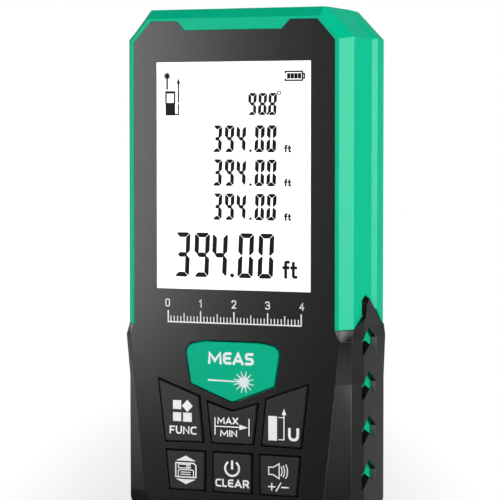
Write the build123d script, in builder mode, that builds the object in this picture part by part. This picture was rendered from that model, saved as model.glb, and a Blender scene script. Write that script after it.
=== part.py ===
"""Handheld laser distance meter: two shells, a slip-on grip boot, keys, display, optics and cells.

Millimetres. X runs to the right seen from the front, Y from the front face to the back,
Z up. The meter stands on its lower end, and the origin is the middle of that end.
"""

from build123d import *
import math
import os

os.makedirs("parts", exist_ok=True)

# ---------------------------------------------------------------- driving dimensions
HEIGHT = 114.2            # lower end to the crown of the top end
FRONT = -13.0             # front face, flush with the black face plate
BACK = 13.5               # back face
PARTING = 2.6             # depth where the front and rear shells meet
WALL = 1.8                # shell wall
BOOT_TOP = 44.0           # where the boot starts and the shells step out to full width
BOOT_WALL = 1.3           # boot thickness on the sides
SEAT = 0.05               # gap between pieces that sit face to face

PLATE_BACK = FRONT + 1.2  # back of the face plate, front of the shell's web
WEB_BACK = PLATE_BACK + WALL
SIDE_HALF = 26.85         # half width of the front shell's side flats
BULGE_HALF = 27.75        # half width of the rear shell's side flats
BOOT_HALF = 27.85         # half width of the boot, the widest of all

SCREEN_HALF = 18.33
SCREEN_LOW = 52.15
SCREEN_HIGH = 102.47

KEY_FRONT = FRONT - 0.4   # key tops stand proud of the plate
MEAS_FRONT = FRONT - 0.5
KEY_GAP = 0.3             # gap round each key
KEY_CORNER = 0.25
KEY_FLANGE = 0.7          # how far a key's flange reaches behind the web

BOARD_FRONT = -7.0
BOARD_BACK = BOARD_FRONT + 1.6
BOARD_HALF = 19.6

CELL_RADIUS = 5.25        # AAA cell
CELL_LENGTH = 44.5
CELL_X = 5.65
CELL_Y = 4.9
BAY_HALF = 11.4
BAY_LOW = 10.2
BAY_HIGH = 59.4
BAY_FLOOR = -0.4
DOOR_HALF = 12.9
DOOR_LOW = 7.4
DOOR_HIGH = 62.0
DOOR_GAP = 0.15

EMITTER = (-13.0, 2.5)     # x and y of the laser's upright axis
RECEIVER = (4.0, 2.5)      # x and y of the receiving lens's axis
OPTICS_TOP = 110.3
LENS_RADIUS = 6.98
LENS_SEAT = 105.6
SENSOR_Z = 86.0           # top of the receiver's board

TRIPOD_Z = 71.0
TRIPOD_RADIUS = 2.55      # minor radius of the 1/4 inch camera thread

BOSS_X = 22.2
BOSS_HEIGHTS = (66.0, 103.0)
FOOT_BOSS = (19.0, 8.5)   # the two screws that the boot covers
BOSS_RADIUS = 2.2
SCREW_RADIUS = 1.0
HEAD_RADIUS = 1.9
HEAD_HEIGHT = 1.5
SMALL_POST = 1.6          # posts of the board's screws
SMALL_SCREW = 0.8
BORE_ROOM = 0.2           # a screw's room in its hole
THREAD_ROOM = 0.02        # and in the hole that its thread bites into
OPTICS_POST_Z = 92.0
OPTICS_POST_BACK = -3.4   # the optics carrier's front sits on the posts here
STRAP_PIN = (-25.0, 7.6)   # x and y of the bar that a wrist strap loops round
PIN_RADIUS = 0.8
PIN_LOW = 7.05
PIN_HIGH = 15.45


# ---------------------------------------------------------------- helpers
def front_plane(depth):
    """Plane seen from the front at the given depth: local x is X and local y is Z."""
    return Plane.XZ.offset(-depth)


def side_plane(reach):
    """Plane seen from the right at the given X: local x is Y and local y is Z."""
    return Plane.YZ.offset(reach)


def mirrored(half):
    """A closed outline from its right half, listed from one end of the middle line."""
    return [*half, *[(-x, y) for x, y in reversed(half) if x > 0]]


def polygon(points):
    """A function that draws the closed outline through the points."""
    return lambda: Polyline(*points, close=True)


def slab(draw, near, far, grow=0.0):
    """A plate between two depths, with its outline drawn in the front view."""
    with BuildPart() as plate:
        with BuildSketch(front_plane(near)):
            with BuildLine():
                draw()
            make_face()
            if grow:
                offset(amount=grow, kind=Kind.INTERSECTION)
        extrude(amount=near - far)
    return plate.part


def block(x_range, y_range, z_range):
    """A box between two corners."""
    low = (x_range[0], z_range[0])
    high = (x_range[1], z_range[1])
    return slab(
        polygon([low, (high[0], low[1]), high, (low[0], high[1])]), y_range[0], y_range[1]
    )


def across(half, y_range, z_range):
    """A box centred on the middle line."""
    return block((-half, half), y_range, z_range)


def rod(x, z, radius, near, far):
    """A round bar along the depth."""
    with BuildPart() as bar:
        with BuildSketch(front_plane(near)):
            with Locations((x, z)):
                Circle(radius)
        extrude(amount=near - far)
    return bar.part


def octagon(radius):
    """Eight sides that touch the circle of the radius, two of them upright."""
    RegularPolygon(radius, 8, major_radius=False, rotation=22.5)


def peg(x, z, radius, near, far):
    """An eight-sided bar along the depth, for posts, bores and shanks that lie hidden inside."""
    with BuildPart() as bar:
        with BuildSketch(front_plane(near)):
            with Locations((x, z)):
                octagon(radius)
        extrude(amount=near - far)
    return bar.part


def post(x, y, radius, low, high):
    """A round upright."""
    with BuildPart() as upright:
        with BuildSketch(Plane.XY.offset(low)):
            with Locations((x, y)):
                Circle(radius)
        extrude(amount=high - low)
    return upright.part


def funnel(x, y, radius, top_radius, low, high):
    """An eight-sided upright that widens towards its top."""
    spread = math.degrees(math.atan2(top_radius - radius, high - low))
    with BuildPart() as upright:
        with BuildSketch(Plane.XY.offset(low)):
            with Locations((x, y)):
                octagon(radius)
        extrude(amount=high - low, taper=-spread)
    return upright.part


def turned(profile, x, y):
    """A piece turned about the upright axis at x, y from a half profile of radius and height."""
    with BuildPart() as piece:
        with BuildSketch(Plane((x, y, 0), x_dir=(1, 0, 0), z_dir=(0, -1, 0))):
            with BuildLine():
                profile()
            make_face()
        revolve(axis=Axis((x, y, 0), (0, 0, 1)))
    return piece.part


def stack(sections):
    """A flat-sided block through level outlines, each a height and the right half of its plan."""
    with BuildPart() as pile:
        for level, half in sections:
            with BuildSketch(Plane.XY.offset(level)):
                with BuildLine():
                    Polyline(*mirrored(half), close=True)
                make_face()
        loft(ruled=True)
    return pile.part


def slices(sections):
    """A flat-sided block through front-view outlines, each a depth and its right half."""
    with BuildPart() as pile:
        for depth, half in sections:
            with BuildSketch(front_plane(depth)):
                with BuildLine():
                    Polyline(*mirrored(half), close=True)
                make_face()
        loft(ruled=True)
    return pile.part


def save(part, name):
    """Label a finished piece and write its STEP file."""
    part.label = name
    export_step(part, f"parts/{name}.step")


# ---------------------------------------------------------------- outlines in the front view
PLATE_HALF = [
    (17.3, 1.7), (19.98, 4.32), (21.33, 6.4), (24.9, 41.4), (23.86, BOOT_TOP),
    (23.82, 106.9), (19.72, 111.45), (13.45, 111.45), (11.5, 109.4),
]
SCREEN = mirrored([(SCREEN_HALF, SCREEN_LOW), (SCREEN_HALF, SCREEN_HIGH)])

FUNC_KEY = [(-17.8, 31.8), (-8.05, 28.3), (-7.05, 18.15), (-16.15, 18.0)]
REFERENCE_KEY = [(-x, z) for x, z in FUNC_KEY]
MAX_MIN_KEY = mirrored([(0.0, 25.3), (5.95, 27.2), (4.9, 18.15)])
SAVE_KEY = [(-15.95, 15.95), (-6.6, 15.95), (-6.7, 7.3), (-15.1, 7.3)]
SOUND_KEY = [(-x, z) for x, z in SAVE_KEY]
CLEAR_KEY = mirrored([(4.5, 7.25), (4.6, 15.95)])
MEAS_KEY = mirrored([(0.0, 27.4), (9.9, 31.25), (11.08, 38.7), (10.0, 40.0), (6.6, 40.65)])
MEAS_SHOULDER = 1.5       # rounding of the large key's upper corners
KEYS = {
    "meas_key": MEAS_KEY, "func_key": FUNC_KEY, "max_min_key": MAX_MIN_KEY,
    "reference_key": REFERENCE_KEY, "save_key": SAVE_KEY, "clear_key": CLEAR_KEY,
    "sound_key": SOUND_KEY,
}
KEY_CENTRES = {
    "meas_key": (0.0, 34.6), "func_key": (-12.3, 24.0), "max_min_key": (0.0, 22.0),
    "reference_key": (12.3, 24.0), "save_key": (-11.2, 11.6), "clear_key": (0.0, 11.6),
    "sound_key": (11.2, 11.6),
}


def key_shape(name, near, far, grow=KEY_GAP):
    """A key's outline as a plate, grown by the gap that its opening leaves round it."""
    return slab(polygon(KEYS[name]), near, far, grow=grow)


# ---------------------------------------------------------------- body of the two shells
def body_slice(depth, half, shoulder, flat, top):
    """One front-view slice above the boot: side, sloping corner and top."""
    return depth, [(half, BOOT_TOP), (half, shoulder), (flat, top)]


upper_body = slices([
    body_slice(FRONT, 24.78, 107.1, 20.3, 112.1),
    body_slice(-10.6, 26.02, 107.43, 20.6, HEIGHT),
    body_slice(-9.0, SIDE_HALF, 107.65, 20.9, HEIGHT),
    body_slice(PARTING, SIDE_HALF, 107.65, 21.0, HEIGHT),
    body_slice(4.2, BULGE_HALF, 107.6, 21.0, HEIGHT),
    body_slice(10.0, 27.2, 107.6, 21.1, 114.0),
    body_slice(BACK, 24.8, 106.6, 20.3, 111.6),
])
upper_hollow = slices([
    body_slice(WEB_BACK, 23.0, 105.9, 19.6, 110.6),
    body_slice(-8.4, 25.0, 106.4, 20.2, 112.3),
    body_slice(10.95, 24.4, 106.2, 20.0, 112.3),
    body_slice(BACK - WALL, 23.6, 105.8, 19.6, 111.0),
])


def core_plan(grow, front_corner, drawn_in=0.0):
    """Right half of the slim shell section that the boot slips over."""
    front = PLATE_BACK - grow
    return [
        (front_corner + grow, front),
        (25.4 + grow - drawn_in, -8.3),
        (26.5 + grow - drawn_in, -0.8),
        (25.9 + grow - drawn_in, 9.4),
        (23.8 + grow - drawn_in, BACK - BOOT_WALL + grow),
    ]


def core(grow):
    """The slim lower body, tapered like the face plate and cut at its lower corners."""
    return stack([
        (BOOT_WALL + SEAT - grow, core_plan(grow, 16.2, drawn_in=4.8)),
        (6.4, core_plan(grow, 20.1)),
        (41.4, core_plan(grow, 23.7)),
        (BOOT_TOP + SEAT, core_plan(grow, 23.2)),
    ])


lower_hollow = stack([
    (3.2, [(14.5, WEB_BACK), (18.8, -7.4), (20.0, -0.8), (19.6, 8.4), (18.0, 10.4)]),
    (8.2, [(18.2, WEB_BACK), (23.4, -7.4), (24.7, -0.8), (24.2, 8.4), (22.4, 10.4)]),
    (BOOT_TOP + SEAT, [(21.4, WEB_BACK), (23.4, -7.4), (24.7, -0.8), (24.2, 8.4), (22.4, 10.4)]),
])
PAD_HALF = 15.15          # the flat round the battery door, which the boot leaves open
PAD_LOW = 4.65
PAD_ROOT = 10.0
back_pad = across(PAD_HALF, (PAD_ROOT, BACK), (PAD_LOW, BOOT_TOP))

# ---------------------------------------------------------------- the boot's side arrow
ARROW_ROOT = [(-9.0, 43.9), (-3.6, 46.3), (-3.6, 49.9), (-1.3, 51.1), (9.3, 43.9)]
ARROW_CREST = [(-9.0, 43.9), (-3.6, 46.3), (-2.2, 49.1), (-1.2, 50.3), (9.3, 43.9)]
ARROW_FOOT = 42.6         # the tip runs into the boot below its top edge
ARROW_TOP = 52.0
ARROW_BED = 26.5          # the shells are let in to here under the arrow


def draw_arrow(outline):
    """The arrow's closed outline in the side view."""
    Polyline((outline[0][0], ARROW_FOOT), *outline, (outline[-1][0], ARROW_FOOT), close=True)


def arrow_bed(side):
    """The flat-bottomed recess in the shells that the arrow tip lies in."""
    with BuildPart() as recess:
        with BuildSketch(side_plane(side * ARROW_BED)):
            with BuildLine():
                draw_arrow(ARROW_ROOT)
            make_face()
            offset(amount=SEAT, kind=Kind.INTERSECTION)
        extrude(amount=side * WALL)
    return recess.part


# ---------------------------------------------------------------- openings shared by pieces
END_X = (-18.6, 12.4)     # the optics bezel's opening in the top end
END_Y = (-4.9, 9.9)
END_CORNER = 4.0
BEZEL_LIP = 112.2         # the bezel's flange lies under the shells up to here


def end_slab(low, high, grow=0.0):
    """A level plate with the rounded outline of the opening in the top end."""
    with BuildPart() as plate:
        with BuildSketch(Plane.XY.offset(low)):
            with Locations(((END_X[0] + END_X[1]) / 2, (END_Y[0] + END_Y[1]) / 2)):
                RectangleRounded(
                    END_X[1] - END_X[0] + 2 * grow,
                    END_Y[1] - END_Y[0] + 2 * grow,
                    END_CORNER + grow,
                )
        extrude(amount=high - low)
    return plate.part


STRAP_DEEP = -22.3        # floor of the recess round the strap's bar
strap_recess = block((-BOOT_HALF - 1, STRAP_DEEP), (5.8, 9.4), (8.0, 14.5))
strap_lug = block((-25.0, STRAP_DEEP + 1.5), (4.4, 10.2), (6.4, 16.2))
end_opening = end_slab(BEZEL_LIP - 0.7, HEIGHT + 1, 0.1)
plate_pocket = slab(polygon(mirrored(PLATE_HALF)), FRONT - 1, PLATE_BACK, grow=SEAT)
screw_spots = [(side * BOSS_X, z) for side in (-1, 1) for z in BOSS_HEIGHTS]
foot_spots = [(side * FOOT_BOSS[0], FOOT_BOSS[1]) for side in (-1, 1)]
board_spots = [(-17.4, 46.6), (17.4, 46.6), (-16.4, 105.6), (16.4, 105.6), (-9.0, 4.9), (9.0, 4.9)]
post_spots = [(-BOSS_X, OPTICS_POST_Z), (BOSS_X, OPTICS_POST_Z)]

POST_ROOT = WEB_BACK - 0.2
WEB_MARGIN = 1.35         # how far the web's opening reaches beyond the display
PILOT_END = WEB_BACK + 0.4   # the small screws' pilot holes stop short of the front wall
HEAD_SEAT = BACK - 2.2    # the screws' heads sit on the bosses here
FOOT_SEAT = BACK - BOOT_WALL - 1.8


def display_box(grow, near, far):
    """A box behind the display, its outline grown from the display's own."""
    return slab(polygon(SCREEN), near, far, grow=grow)


# ---------------------------------------------------------------- front shell
with BuildPart() as front_housing:
    add(upper_body)
    add(core(0.0))
    add(arrow_bed(1), mode=Mode.SUBTRACT)
    add(arrow_bed(-1), mode=Mode.SUBTRACT)
    add(upper_hollow, mode=Mode.SUBTRACT)
    add(lower_hollow, mode=Mode.SUBTRACT)
    split(bisect_by=Plane.XZ.offset(-PARTING), keep=Keep.TOP)
    for x, z in screw_spots + foot_spots:
        add(peg(x, z, BOSS_RADIUS, POST_ROOT, PARTING))
    for x, z in post_spots:
        add(peg(x, z, BOSS_RADIUS - BORE_ROOM, POST_ROOT, OPTICS_POST_BACK))
    for x, z in board_spots:
        add(peg(x, z, SMALL_POST, POST_ROOT, BOARD_FRONT))
    for x, z in screw_spots + foot_spots:
        add(peg(x, z, SCREW_RADIUS + THREAD_ROOM, BOARD_FRONT, PARTING + 1), mode=Mode.SUBTRACT)
    for x, z in post_spots + board_spots:
        add(peg(x, z, SMALL_SCREW + THREAD_ROOM, PILOT_END, 0.0), mode=Mode.SUBTRACT)
    add(plate_pocket, mode=Mode.SUBTRACT)
    add(display_box(WEB_MARGIN, FRONT, WEB_BACK + 1), mode=Mode.SUBTRACT)
    for name in KEYS:
        add(key_shape(name, FRONT, WEB_BACK + 1), mode=Mode.SUBTRACT)
    add(end_opening, mode=Mode.SUBTRACT)

# ---------------------------------------------------------------- rear shell
BAY_WALL = 2.9            # side walls of the battery bay
BACK_INNER = 12.0         # ribs, bosses and bay walls run into the back wall up to here
TONGUE_X = 6.0            # the door's two tongues, either side of the middle
TONGUE_HALF = 2.0
TONGUE_LOW = 57.5
TONGUE_REACH = 1.5        # how far a tongue passes behind the wall above the door
INSERT_ROOM = 4.0         # radius of the tripod insert's seat
INSERT_SEAT = 6.4

with BuildPart() as rear_housing:
    add(upper_body)
    add(core(0.0))
    add(back_pad)
    add(arrow_bed(1), mode=Mode.SUBTRACT)
    add(arrow_bed(-1), mode=Mode.SUBTRACT)
    add(upper_hollow, mode=Mode.SUBTRACT)
    add(lower_hollow, mode=Mode.SUBTRACT)
    split(bisect_by=Plane.XZ.offset(-PARTING), keep=Keep.BOTTOM)
    add(across(
        BAY_HALF + BAY_WALL, (BAY_FLOOR - 1.2, BACK_INNER), (DOOR_LOW - 0.6, BAY_HIGH + 1.4)
    ))
    for x, z in screw_spots:
        add(peg(x, z, BOSS_RADIUS + BORE_ROOM, PARTING, BACK_INNER))
    for x, z in foot_spots:
        add(peg(x, z, BOSS_RADIUS + BORE_ROOM, PARTING, BACK_INNER - 1))
    add(peg(0, TRIPOD_Z, INSERT_ROOM + 2, INSERT_SEAT - 1, BACK_INNER))
    add(strap_lug)
    add(across(BAY_HALF, (BAY_FLOOR, BACK_INNER), (BAY_LOW, BAY_HIGH)), mode=Mode.SUBTRACT)
    add(
        across(DOOR_HALF, (BACK - WALL - SEAT, BACK + 1), (DOOR_LOW, DOOR_HIGH)),
        mode=Mode.SUBTRACT,
    )
    add(
        across(
            TONGUE_X + TONGUE_HALF + 1, (9.3, BACK_INNER),
            (TONGUE_LOW - 0.5, DOOR_HIGH + TONGUE_REACH + 1.1),
        ),
        mode=Mode.SUBTRACT,
    )
    for x, z in screw_spots + foot_spots:
        add(peg(x, z, SCREW_RADIUS + BORE_ROOM, PARTING - 1, BACK_INNER), mode=Mode.SUBTRACT)
    for x, z in screw_spots:
        add(rod(x, z, HEAD_RADIUS + BORE_ROOM, HEAD_SEAT, BACK + 1), mode=Mode.SUBTRACT)
    for x, z in foot_spots:
        add(rod(x, z, HEAD_RADIUS + BORE_ROOM, FOOT_SEAT, BACK), mode=Mode.SUBTRACT)
    add(rod(0, TRIPOD_Z, INSERT_ROOM, INSERT_SEAT, BACK + 1), mode=Mode.SUBTRACT)
    add(strap_recess, mode=Mode.SUBTRACT)
    add(post(*STRAP_PIN, PIN_RADIUS + 0.02, PIN_LOW - SEAT, PIN_HIGH + SEAT), mode=Mode.SUBTRACT)
    add(end_opening, mode=Mode.SUBTRACT)

# ---------------------------------------------------------------- grip boot
BOOT_RIDGE = -4.8         # depth where the two planes of the boot's side meet
BOOT_BACK_HALF = 27.4     # half width of the boot where its rear bevel starts
RIM = 0.28                # share of the front bevel that its inner strip takes
CREASE = 0.3              # share up to the line that fans out into the bevel's top facet
TOP_CREASE = 0.94


def along(start, end, share):
    """The point at a share of the way from start to end."""
    return tuple(a + share * (b - a) for a, b in zip(start, end))


def boot_plan(front_x, shoulder, drawn_in=0.0, flat=0.0, back_half=BOOT_BACK_HALF):
    """Right half of the boot's section: rim, tapered front bevel, side, rear bevel and back.

    drawn_in moves the sides in and flat moves the front and back in, for the lower end.
    """
    front = (front_x, FRONT + flat)
    return [
        front,
        along(front, shoulder, RIM),
        along(front, shoulder, CREASE),
        shoulder,
        (BOOT_HALF - drawn_in, BOOT_RIDGE),
        (back_half - drawn_in, 10.0 - flat / 2),
        (24.8 - drawn_in, BACK - flat),
    ]


def boot_top_plan():
    """Right half of the boot's upper edge, where the bevel meets that of the shells."""
    plan = boot_plan(23.86, (SIDE_HALF, -9.0))
    rim = (24.78, FRONT)
    plan[1:3] = [rim, along(rim, plan[3], TOP_CREASE)]
    return plan


boot_body = stack([
    (0.0, boot_plan(15.9, (24.2, -7.8), drawn_in=2.6, flat=1.6)),
    (1.7, boot_plan(17.3, (25.9, -9.2), drawn_in=0.8)),
    (4.32, boot_plan(19.98, (26.6, -9.45))),
    (6.4, boot_plan(21.33, (26.6, -9.45))),
    (32.0, boot_plan(23.94, (26.6, -9.5))),
    (41.4, boot_plan(24.9, (27.0, -10.5), back_half=27.75)),
    (BOOT_TOP - SEAT, boot_top_plan()),
])

boot_rise = stack([(ARROW_FOOT, boot_top_plan()), (ARROW_TOP, boot_top_plan())])


def arrow(side):
    """The arrow tip on one side, flush with the boot and with its edge sloping back to a crest."""
    with BuildPart() as tip:
        for reach, outline in ((ARROW_BED + SEAT, ARROW_ROOT), (BOOT_HALF, ARROW_CREST)):
            with BuildSketch(side_plane(side * reach)):
                with BuildLine():
                    draw_arrow(outline)
                make_face()
        loft(ruled=True)
        add(boot_rise, mode=Mode.INTERSECT)
    return tip.part


CHEVRON_FIRST = 44.4      # tip of the highest window
CHEVRON_PITCH = 9.88
CHEVRON_COUNT = 4
TONGUE_DROPS = ((ARROW_BED - 0.5, 3.0), (BOOT_HALF + 0.4, 4.6))  # reach, and tongue below tip


def chevron(side, tip):
    """One arrow-shaped window through the boot's side, with a sloping inner tongue."""
    with BuildPart() as window:
        for reach, drop in TONGUE_DROPS:
            with BuildSketch(side_plane(side * reach)):
                with BuildLine():
                    Polyline(
                        (-1.0, tip),
                        (4.2, tip - 3.1),
                        (4.2, tip - 6.5),
                        (-0.9, tip - drop),
                        (-5.6, tip - 6.6),
                        (-5.6, tip - 3.2),
                        close=True,
                    )
                make_face()
        loft(ruled=True)
    return window.part


with BuildPart() as grip_boot:
    add(boot_body)
    add(arrow(1))
    add(arrow(-1))
    add(core(SEAT), mode=Mode.SUBTRACT)
    add(
        across(PAD_HALF + SEAT, (PAD_ROOT - 2, BACK + 1), (PAD_LOW - SEAT, BOOT_TOP + 1)),
        mode=Mode.SUBTRACT,
    )
    add(plate_pocket, mode=Mode.SUBTRACT)
    for side in (-1, 1):
        for count in range(CHEVRON_COUNT):
            add(chevron(side, CHEVRON_FIRST - count * CHEVRON_PITCH), mode=Mode.SUBTRACT)
    add(strap_recess, mode=Mode.SUBTRACT)

# ---------------------------------------------------------------- face plate and window
WINDOW_LEDGE = FRONT + 0.5   # the window's flange lies behind the plate from here
WINDOW_FLANGE = 0.6

with BuildPart() as face_plate:
    add(slab(polygon(mirrored(PLATE_HALF)), FRONT, PLATE_BACK))
    add(slab(polygon(SCREEN), FRONT - 1, PLATE_BACK + 1), mode=Mode.SUBTRACT)
    add(display_box(WINDOW_FLANGE, WINDOW_LEDGE, PLATE_BACK + 1), mode=Mode.SUBTRACT)
    for name in KEYS:
        add(key_shape(name, FRONT - 1, PLATE_BACK + 1), mode=Mode.SUBTRACT)

with BuildPart() as display_window:
    add(display_box(-SEAT, FRONT, PLATE_BACK))
    add(display_box(WINDOW_FLANGE - SEAT, WINDOW_LEDGE + SEAT, PLATE_BACK))

# ---------------------------------------------------------------- keys
KEY_BEVEL = 0.2
FLANGE_FRONT = WEB_BACK + 0.1
FLANGE_BACK = FLANGE_FRONT + 0.7
STEM_BACK = FLANGE_BACK + 0.55
STEM_RADIUS = 1.6
MAT_FRONT = -8.0
MAT_BACK = MAT_FRONT + 0.6
DOME_RISE = 0.35
MAT = mirrored([(15.9, 6.5), (15.9, 13.0), (18.4, 16.5), (18.4, 41.4)])

with BuildPart() as keypad_mat:
    add(slab(polygon(MAT), MAT_FRONT, MAT_BACK))

keys = {}
for name in KEYS:
    top = MEAS_FRONT if name == "meas_key" else KEY_FRONT
    with BuildPart() as key:
        add(key_shape(name, top, FLANGE_FRONT, grow=0.0))
        corners = key.edges().filter_by(Axis.Y).sort_by(Axis.Z)
        if name == "meas_key":
            fillet(corners[3:], MEAS_SHOULDER)
            corners = key.edges().filter_by(Axis.Y).sort_by(Axis.Z)[:3]
        chamfer(corners, KEY_CORNER)
        chamfer(key.faces().sort_by(Axis.Y)[0].edges(), KEY_BEVEL)
        add(key_shape(name, FLANGE_FRONT, FLANGE_BACK, grow=KEY_FLANGE))
        add(peg(*KEY_CENTRES[name], STEM_RADIUS, FLANGE_BACK, STEM_BACK))
    keys[name] = key

with BuildPart() as dome_switches:
    for centre in KEY_CENTRES.values():
        add(peg(*centre, STEM_RADIUS + 0.8, BOARD_FRONT - DOME_RISE, BOARD_FRONT))
    chamfer(dome_switches.faces().group_by(Axis.Y)[0].edges(), DOME_RISE - SEAT)

# ---------------------------------------------------------------- display stack
LCD_FRONT = PLATE_BACK + 0.3
LCD_MIDDLE = LCD_FRONT + 0.95   # where the two panes meet
LCD_BACK = LCD_FRONT + 2.0
LCD_HALF = 19.2
LCD_LOW = 51.4
LCD_HIGH = 103.2
GASKET = 1.05             # width of the foam gasket round the display
CONNECTOR_HALF = 16.3     # strip that joins the display's contacts to the board
CONNECTOR_Z = (51.9, 53.3)
CONNECTOR_ROOM = 0.2
FRAME_CUT_HALF = 12.0     # opening in the middle of the display's holder
FRAME_CUT_Z = (58.0, 98.0)
CONTACT_LEDGE = 53.9      # the rear pane stops here and leaves the contacts bare below
BACKLIGHT_HALF = 18.6
BACKLIGHT_BACK = -7.3
FRAME_ROOM = 0.15

with BuildPart() as display_gasket:
    add(display_box(GASKET, PLATE_BACK, LCD_FRONT))
    add(display_box(SEAT, FRONT, WEB_BACK), mode=Mode.SUBTRACT)

with BuildPart() as lcd_glass:
    add(across(LCD_HALF, (LCD_FRONT, LCD_MIDDLE), (LCD_LOW, LCD_HIGH)))
    add(across(LCD_HALF, (LCD_MIDDLE, LCD_BACK), (CONTACT_LEDGE, LCD_HIGH)))

with BuildPart() as lcd_backlight:
    add(across(
        BACKLIGHT_HALF, (LCD_BACK + 0.1, BACKLIGHT_BACK), (CONTACT_LEDGE + 0.2, LCD_HIGH - 0.4)
    ))

with BuildPart() as lcd_frame:
    add(across(
        LCD_HALF + 0.7, (WEB_BACK + SEAT, BOARD_FRONT), (LCD_LOW - 0.5, LCD_HIGH + 0.7)
    ))
    add(
        across(
            LCD_HALF + FRAME_ROOM, (FRONT, LCD_BACK + SEAT),
            (LCD_LOW - 0.1, LCD_HIGH + FRAME_ROOM),
        ),
        mode=Mode.SUBTRACT,
    )
    add(
        across(
            BACKLIGHT_HALF + 0.1, (FRONT, BACKLIGHT_BACK + SEAT),
            (CONTACT_LEDGE + SEAT, LCD_HIGH - 0.25),
        ),
        mode=Mode.SUBTRACT,
    )
    add(across(FRAME_CUT_HALF, (MAT_FRONT, BOARD_BACK), FRAME_CUT_Z), mode=Mode.SUBTRACT)
    add(
        across(
            CONNECTOR_HALF + CONNECTOR_ROOM, (FRONT, BOARD_BACK),
            (CONNECTOR_Z[0] - CONNECTOR_ROOM, CONNECTOR_Z[1] + CONNECTOR_ROOM),
        ),
        mode=Mode.SUBTRACT,
    )

with BuildPart() as lcd_connector:
    add(across(CONNECTOR_HALF, (LCD_MIDDLE + SEAT, BOARD_FRONT), CONNECTOR_Z))

# ---------------------------------------------------------------- main board
BOARD_OUTLINE = mirrored([(15.9, 3.4), (15.9, 12.4), (BOARD_HALF, 15.4), (BOARD_HALF, 107.3)])

with BuildPart() as main_board:
    add(slab(polygon(BOARD_OUTLINE), BOARD_FRONT, BOARD_BACK))
    for x, z in board_spots:
        add(peg(x, z, SMALL_SCREW + BORE_ROOM, FRONT, 0.0), mode=Mode.SUBTRACT)

CHIPS = {                 # centre x, z, then width, height and thickness
    "processor": (-7.0, 40.0, 8.0, 8.0, 1.0),
    "receiver_amplifier": (6.0, 82.0, 5.0, 6.0, 1.2),
    "clock": (4.5, 44.5, 3.2, 2.5, 0.9),
    "regulator": (8.5, 33.0, 3.0, 3.0, 1.1),
    "inductor": (2.5, 30.0, 4.2, 4.2, 2.0),
    "capacitor_a": (13.5, 40.0, 3.2, 1.6, 1.4),
    "capacitor_b": (13.5, 36.5, 3.2, 1.6, 1.4),
    "laser_socket": (-12.0, 82.0, 8.0, 4.0, 1.6),
}

with BuildPart() as board_components:
    for x, z, width, height, thick in CHIPS.values():
        add(block(
            (x - width / 2, x + width / 2),
            (BOARD_BACK, BOARD_BACK + thick),
            (z - height / 2, z + height / 2),
        ))

BUZZER_SPOT = (-11.0, 69.5)
BUZZER_RADIUS = 5.5
BUZZER_BACK = BOARD_BACK + 2.8

with BuildPart() as buzzer:
    add(rod(*BUZZER_SPOT, BUZZER_RADIUS, BOARD_BACK, BUZZER_BACK))
    add(peg(*BUZZER_SPOT, 1.0, BUZZER_BACK - 1, BUZZER_BACK + 1), mode=Mode.SUBTRACT)


def screw(x, z, seat, head_radius, head_height, shank_radius, length):
    """A screw along the depth, its head on the back side of the seat."""
    with BuildPart() as piece:
        add(peg(x, z, head_radius, seat, seat + head_height))
        add(peg(x, z, shank_radius, seat - length, seat))
    return piece.part


with BuildPart() as board_screws:
    for x, z in board_spots:
        add(screw(x, z, BOARD_BACK, 1.5, 0.9, SMALL_SCREW, 3.8))

with BuildPart() as housing_screws:
    for x, z in screw_spots:
        add(screw(x, z, HEAD_SEAT, HEAD_RADIUS, HEAD_HEIGHT, SCREW_RADIUS, 16.0))
    for x, z in foot_spots:
        add(screw(x, z, FOOT_SEAT, HEAD_RADIUS, HEAD_HEIGHT, SCREW_RADIUS, 15.0))

# ---------------------------------------------------------------- optics
CARRIER_LOW = 90.4        # lower end of the carrier's laser sleeve
CARRIER_PLATE = 107.8
SLEEVE_HIGH = CARRIER_PLATE + 0.2
FUNNEL_FOOT = 4.6         # half widths of the receiving funnel at its foot and mouth
FUNNEL_MOUTH = 7.6
FUNNEL_WALL = 1.4
RIB_Y = (1.0, 4.0)        # the rib between the funnel and the laser's sleeve
LINK_X = (-10.0, -1.0)    # the block that joins them to the bracket
LINK_BACK = 1.6
BRACKET_HALF = 24.2
BRACKET_BACK = -1.4
BRACKET_Z = (88.0, 96.0)
FIT = 0.04                # room of a turned piece in its bore
BARREL_RADIUS = 4.0
BARREL_BORE = 2.3
COLLIMATOR_RADIUS = 3.0
COLLIMATOR_Z = 107.45
COLLIMATOR_THICK = 1.1
DIODE_RADIUS = 2.8
DIODE_Z = 90.6
DIODE_BASE = 1.2
DIODE_HEIGHT = 3.6
SENSOR_RADIUS = 2.3
SENSOR_HEIGHT = 2.6
SENSOR_BOARD_X = (-3.4, 11.4)
SENSOR_BOARD_Y = (-2.6, 8.6)
SENSOR_BOARD_THICK = 1.2
RECEIVER_HOLE = 6.4
FLARE = 0.8               # bevel round the receiver's hole
EMITTER_HOLE = 2.6
EMITTER_PANE = 3.25
BEZEL_TOP = 113.5

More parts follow.
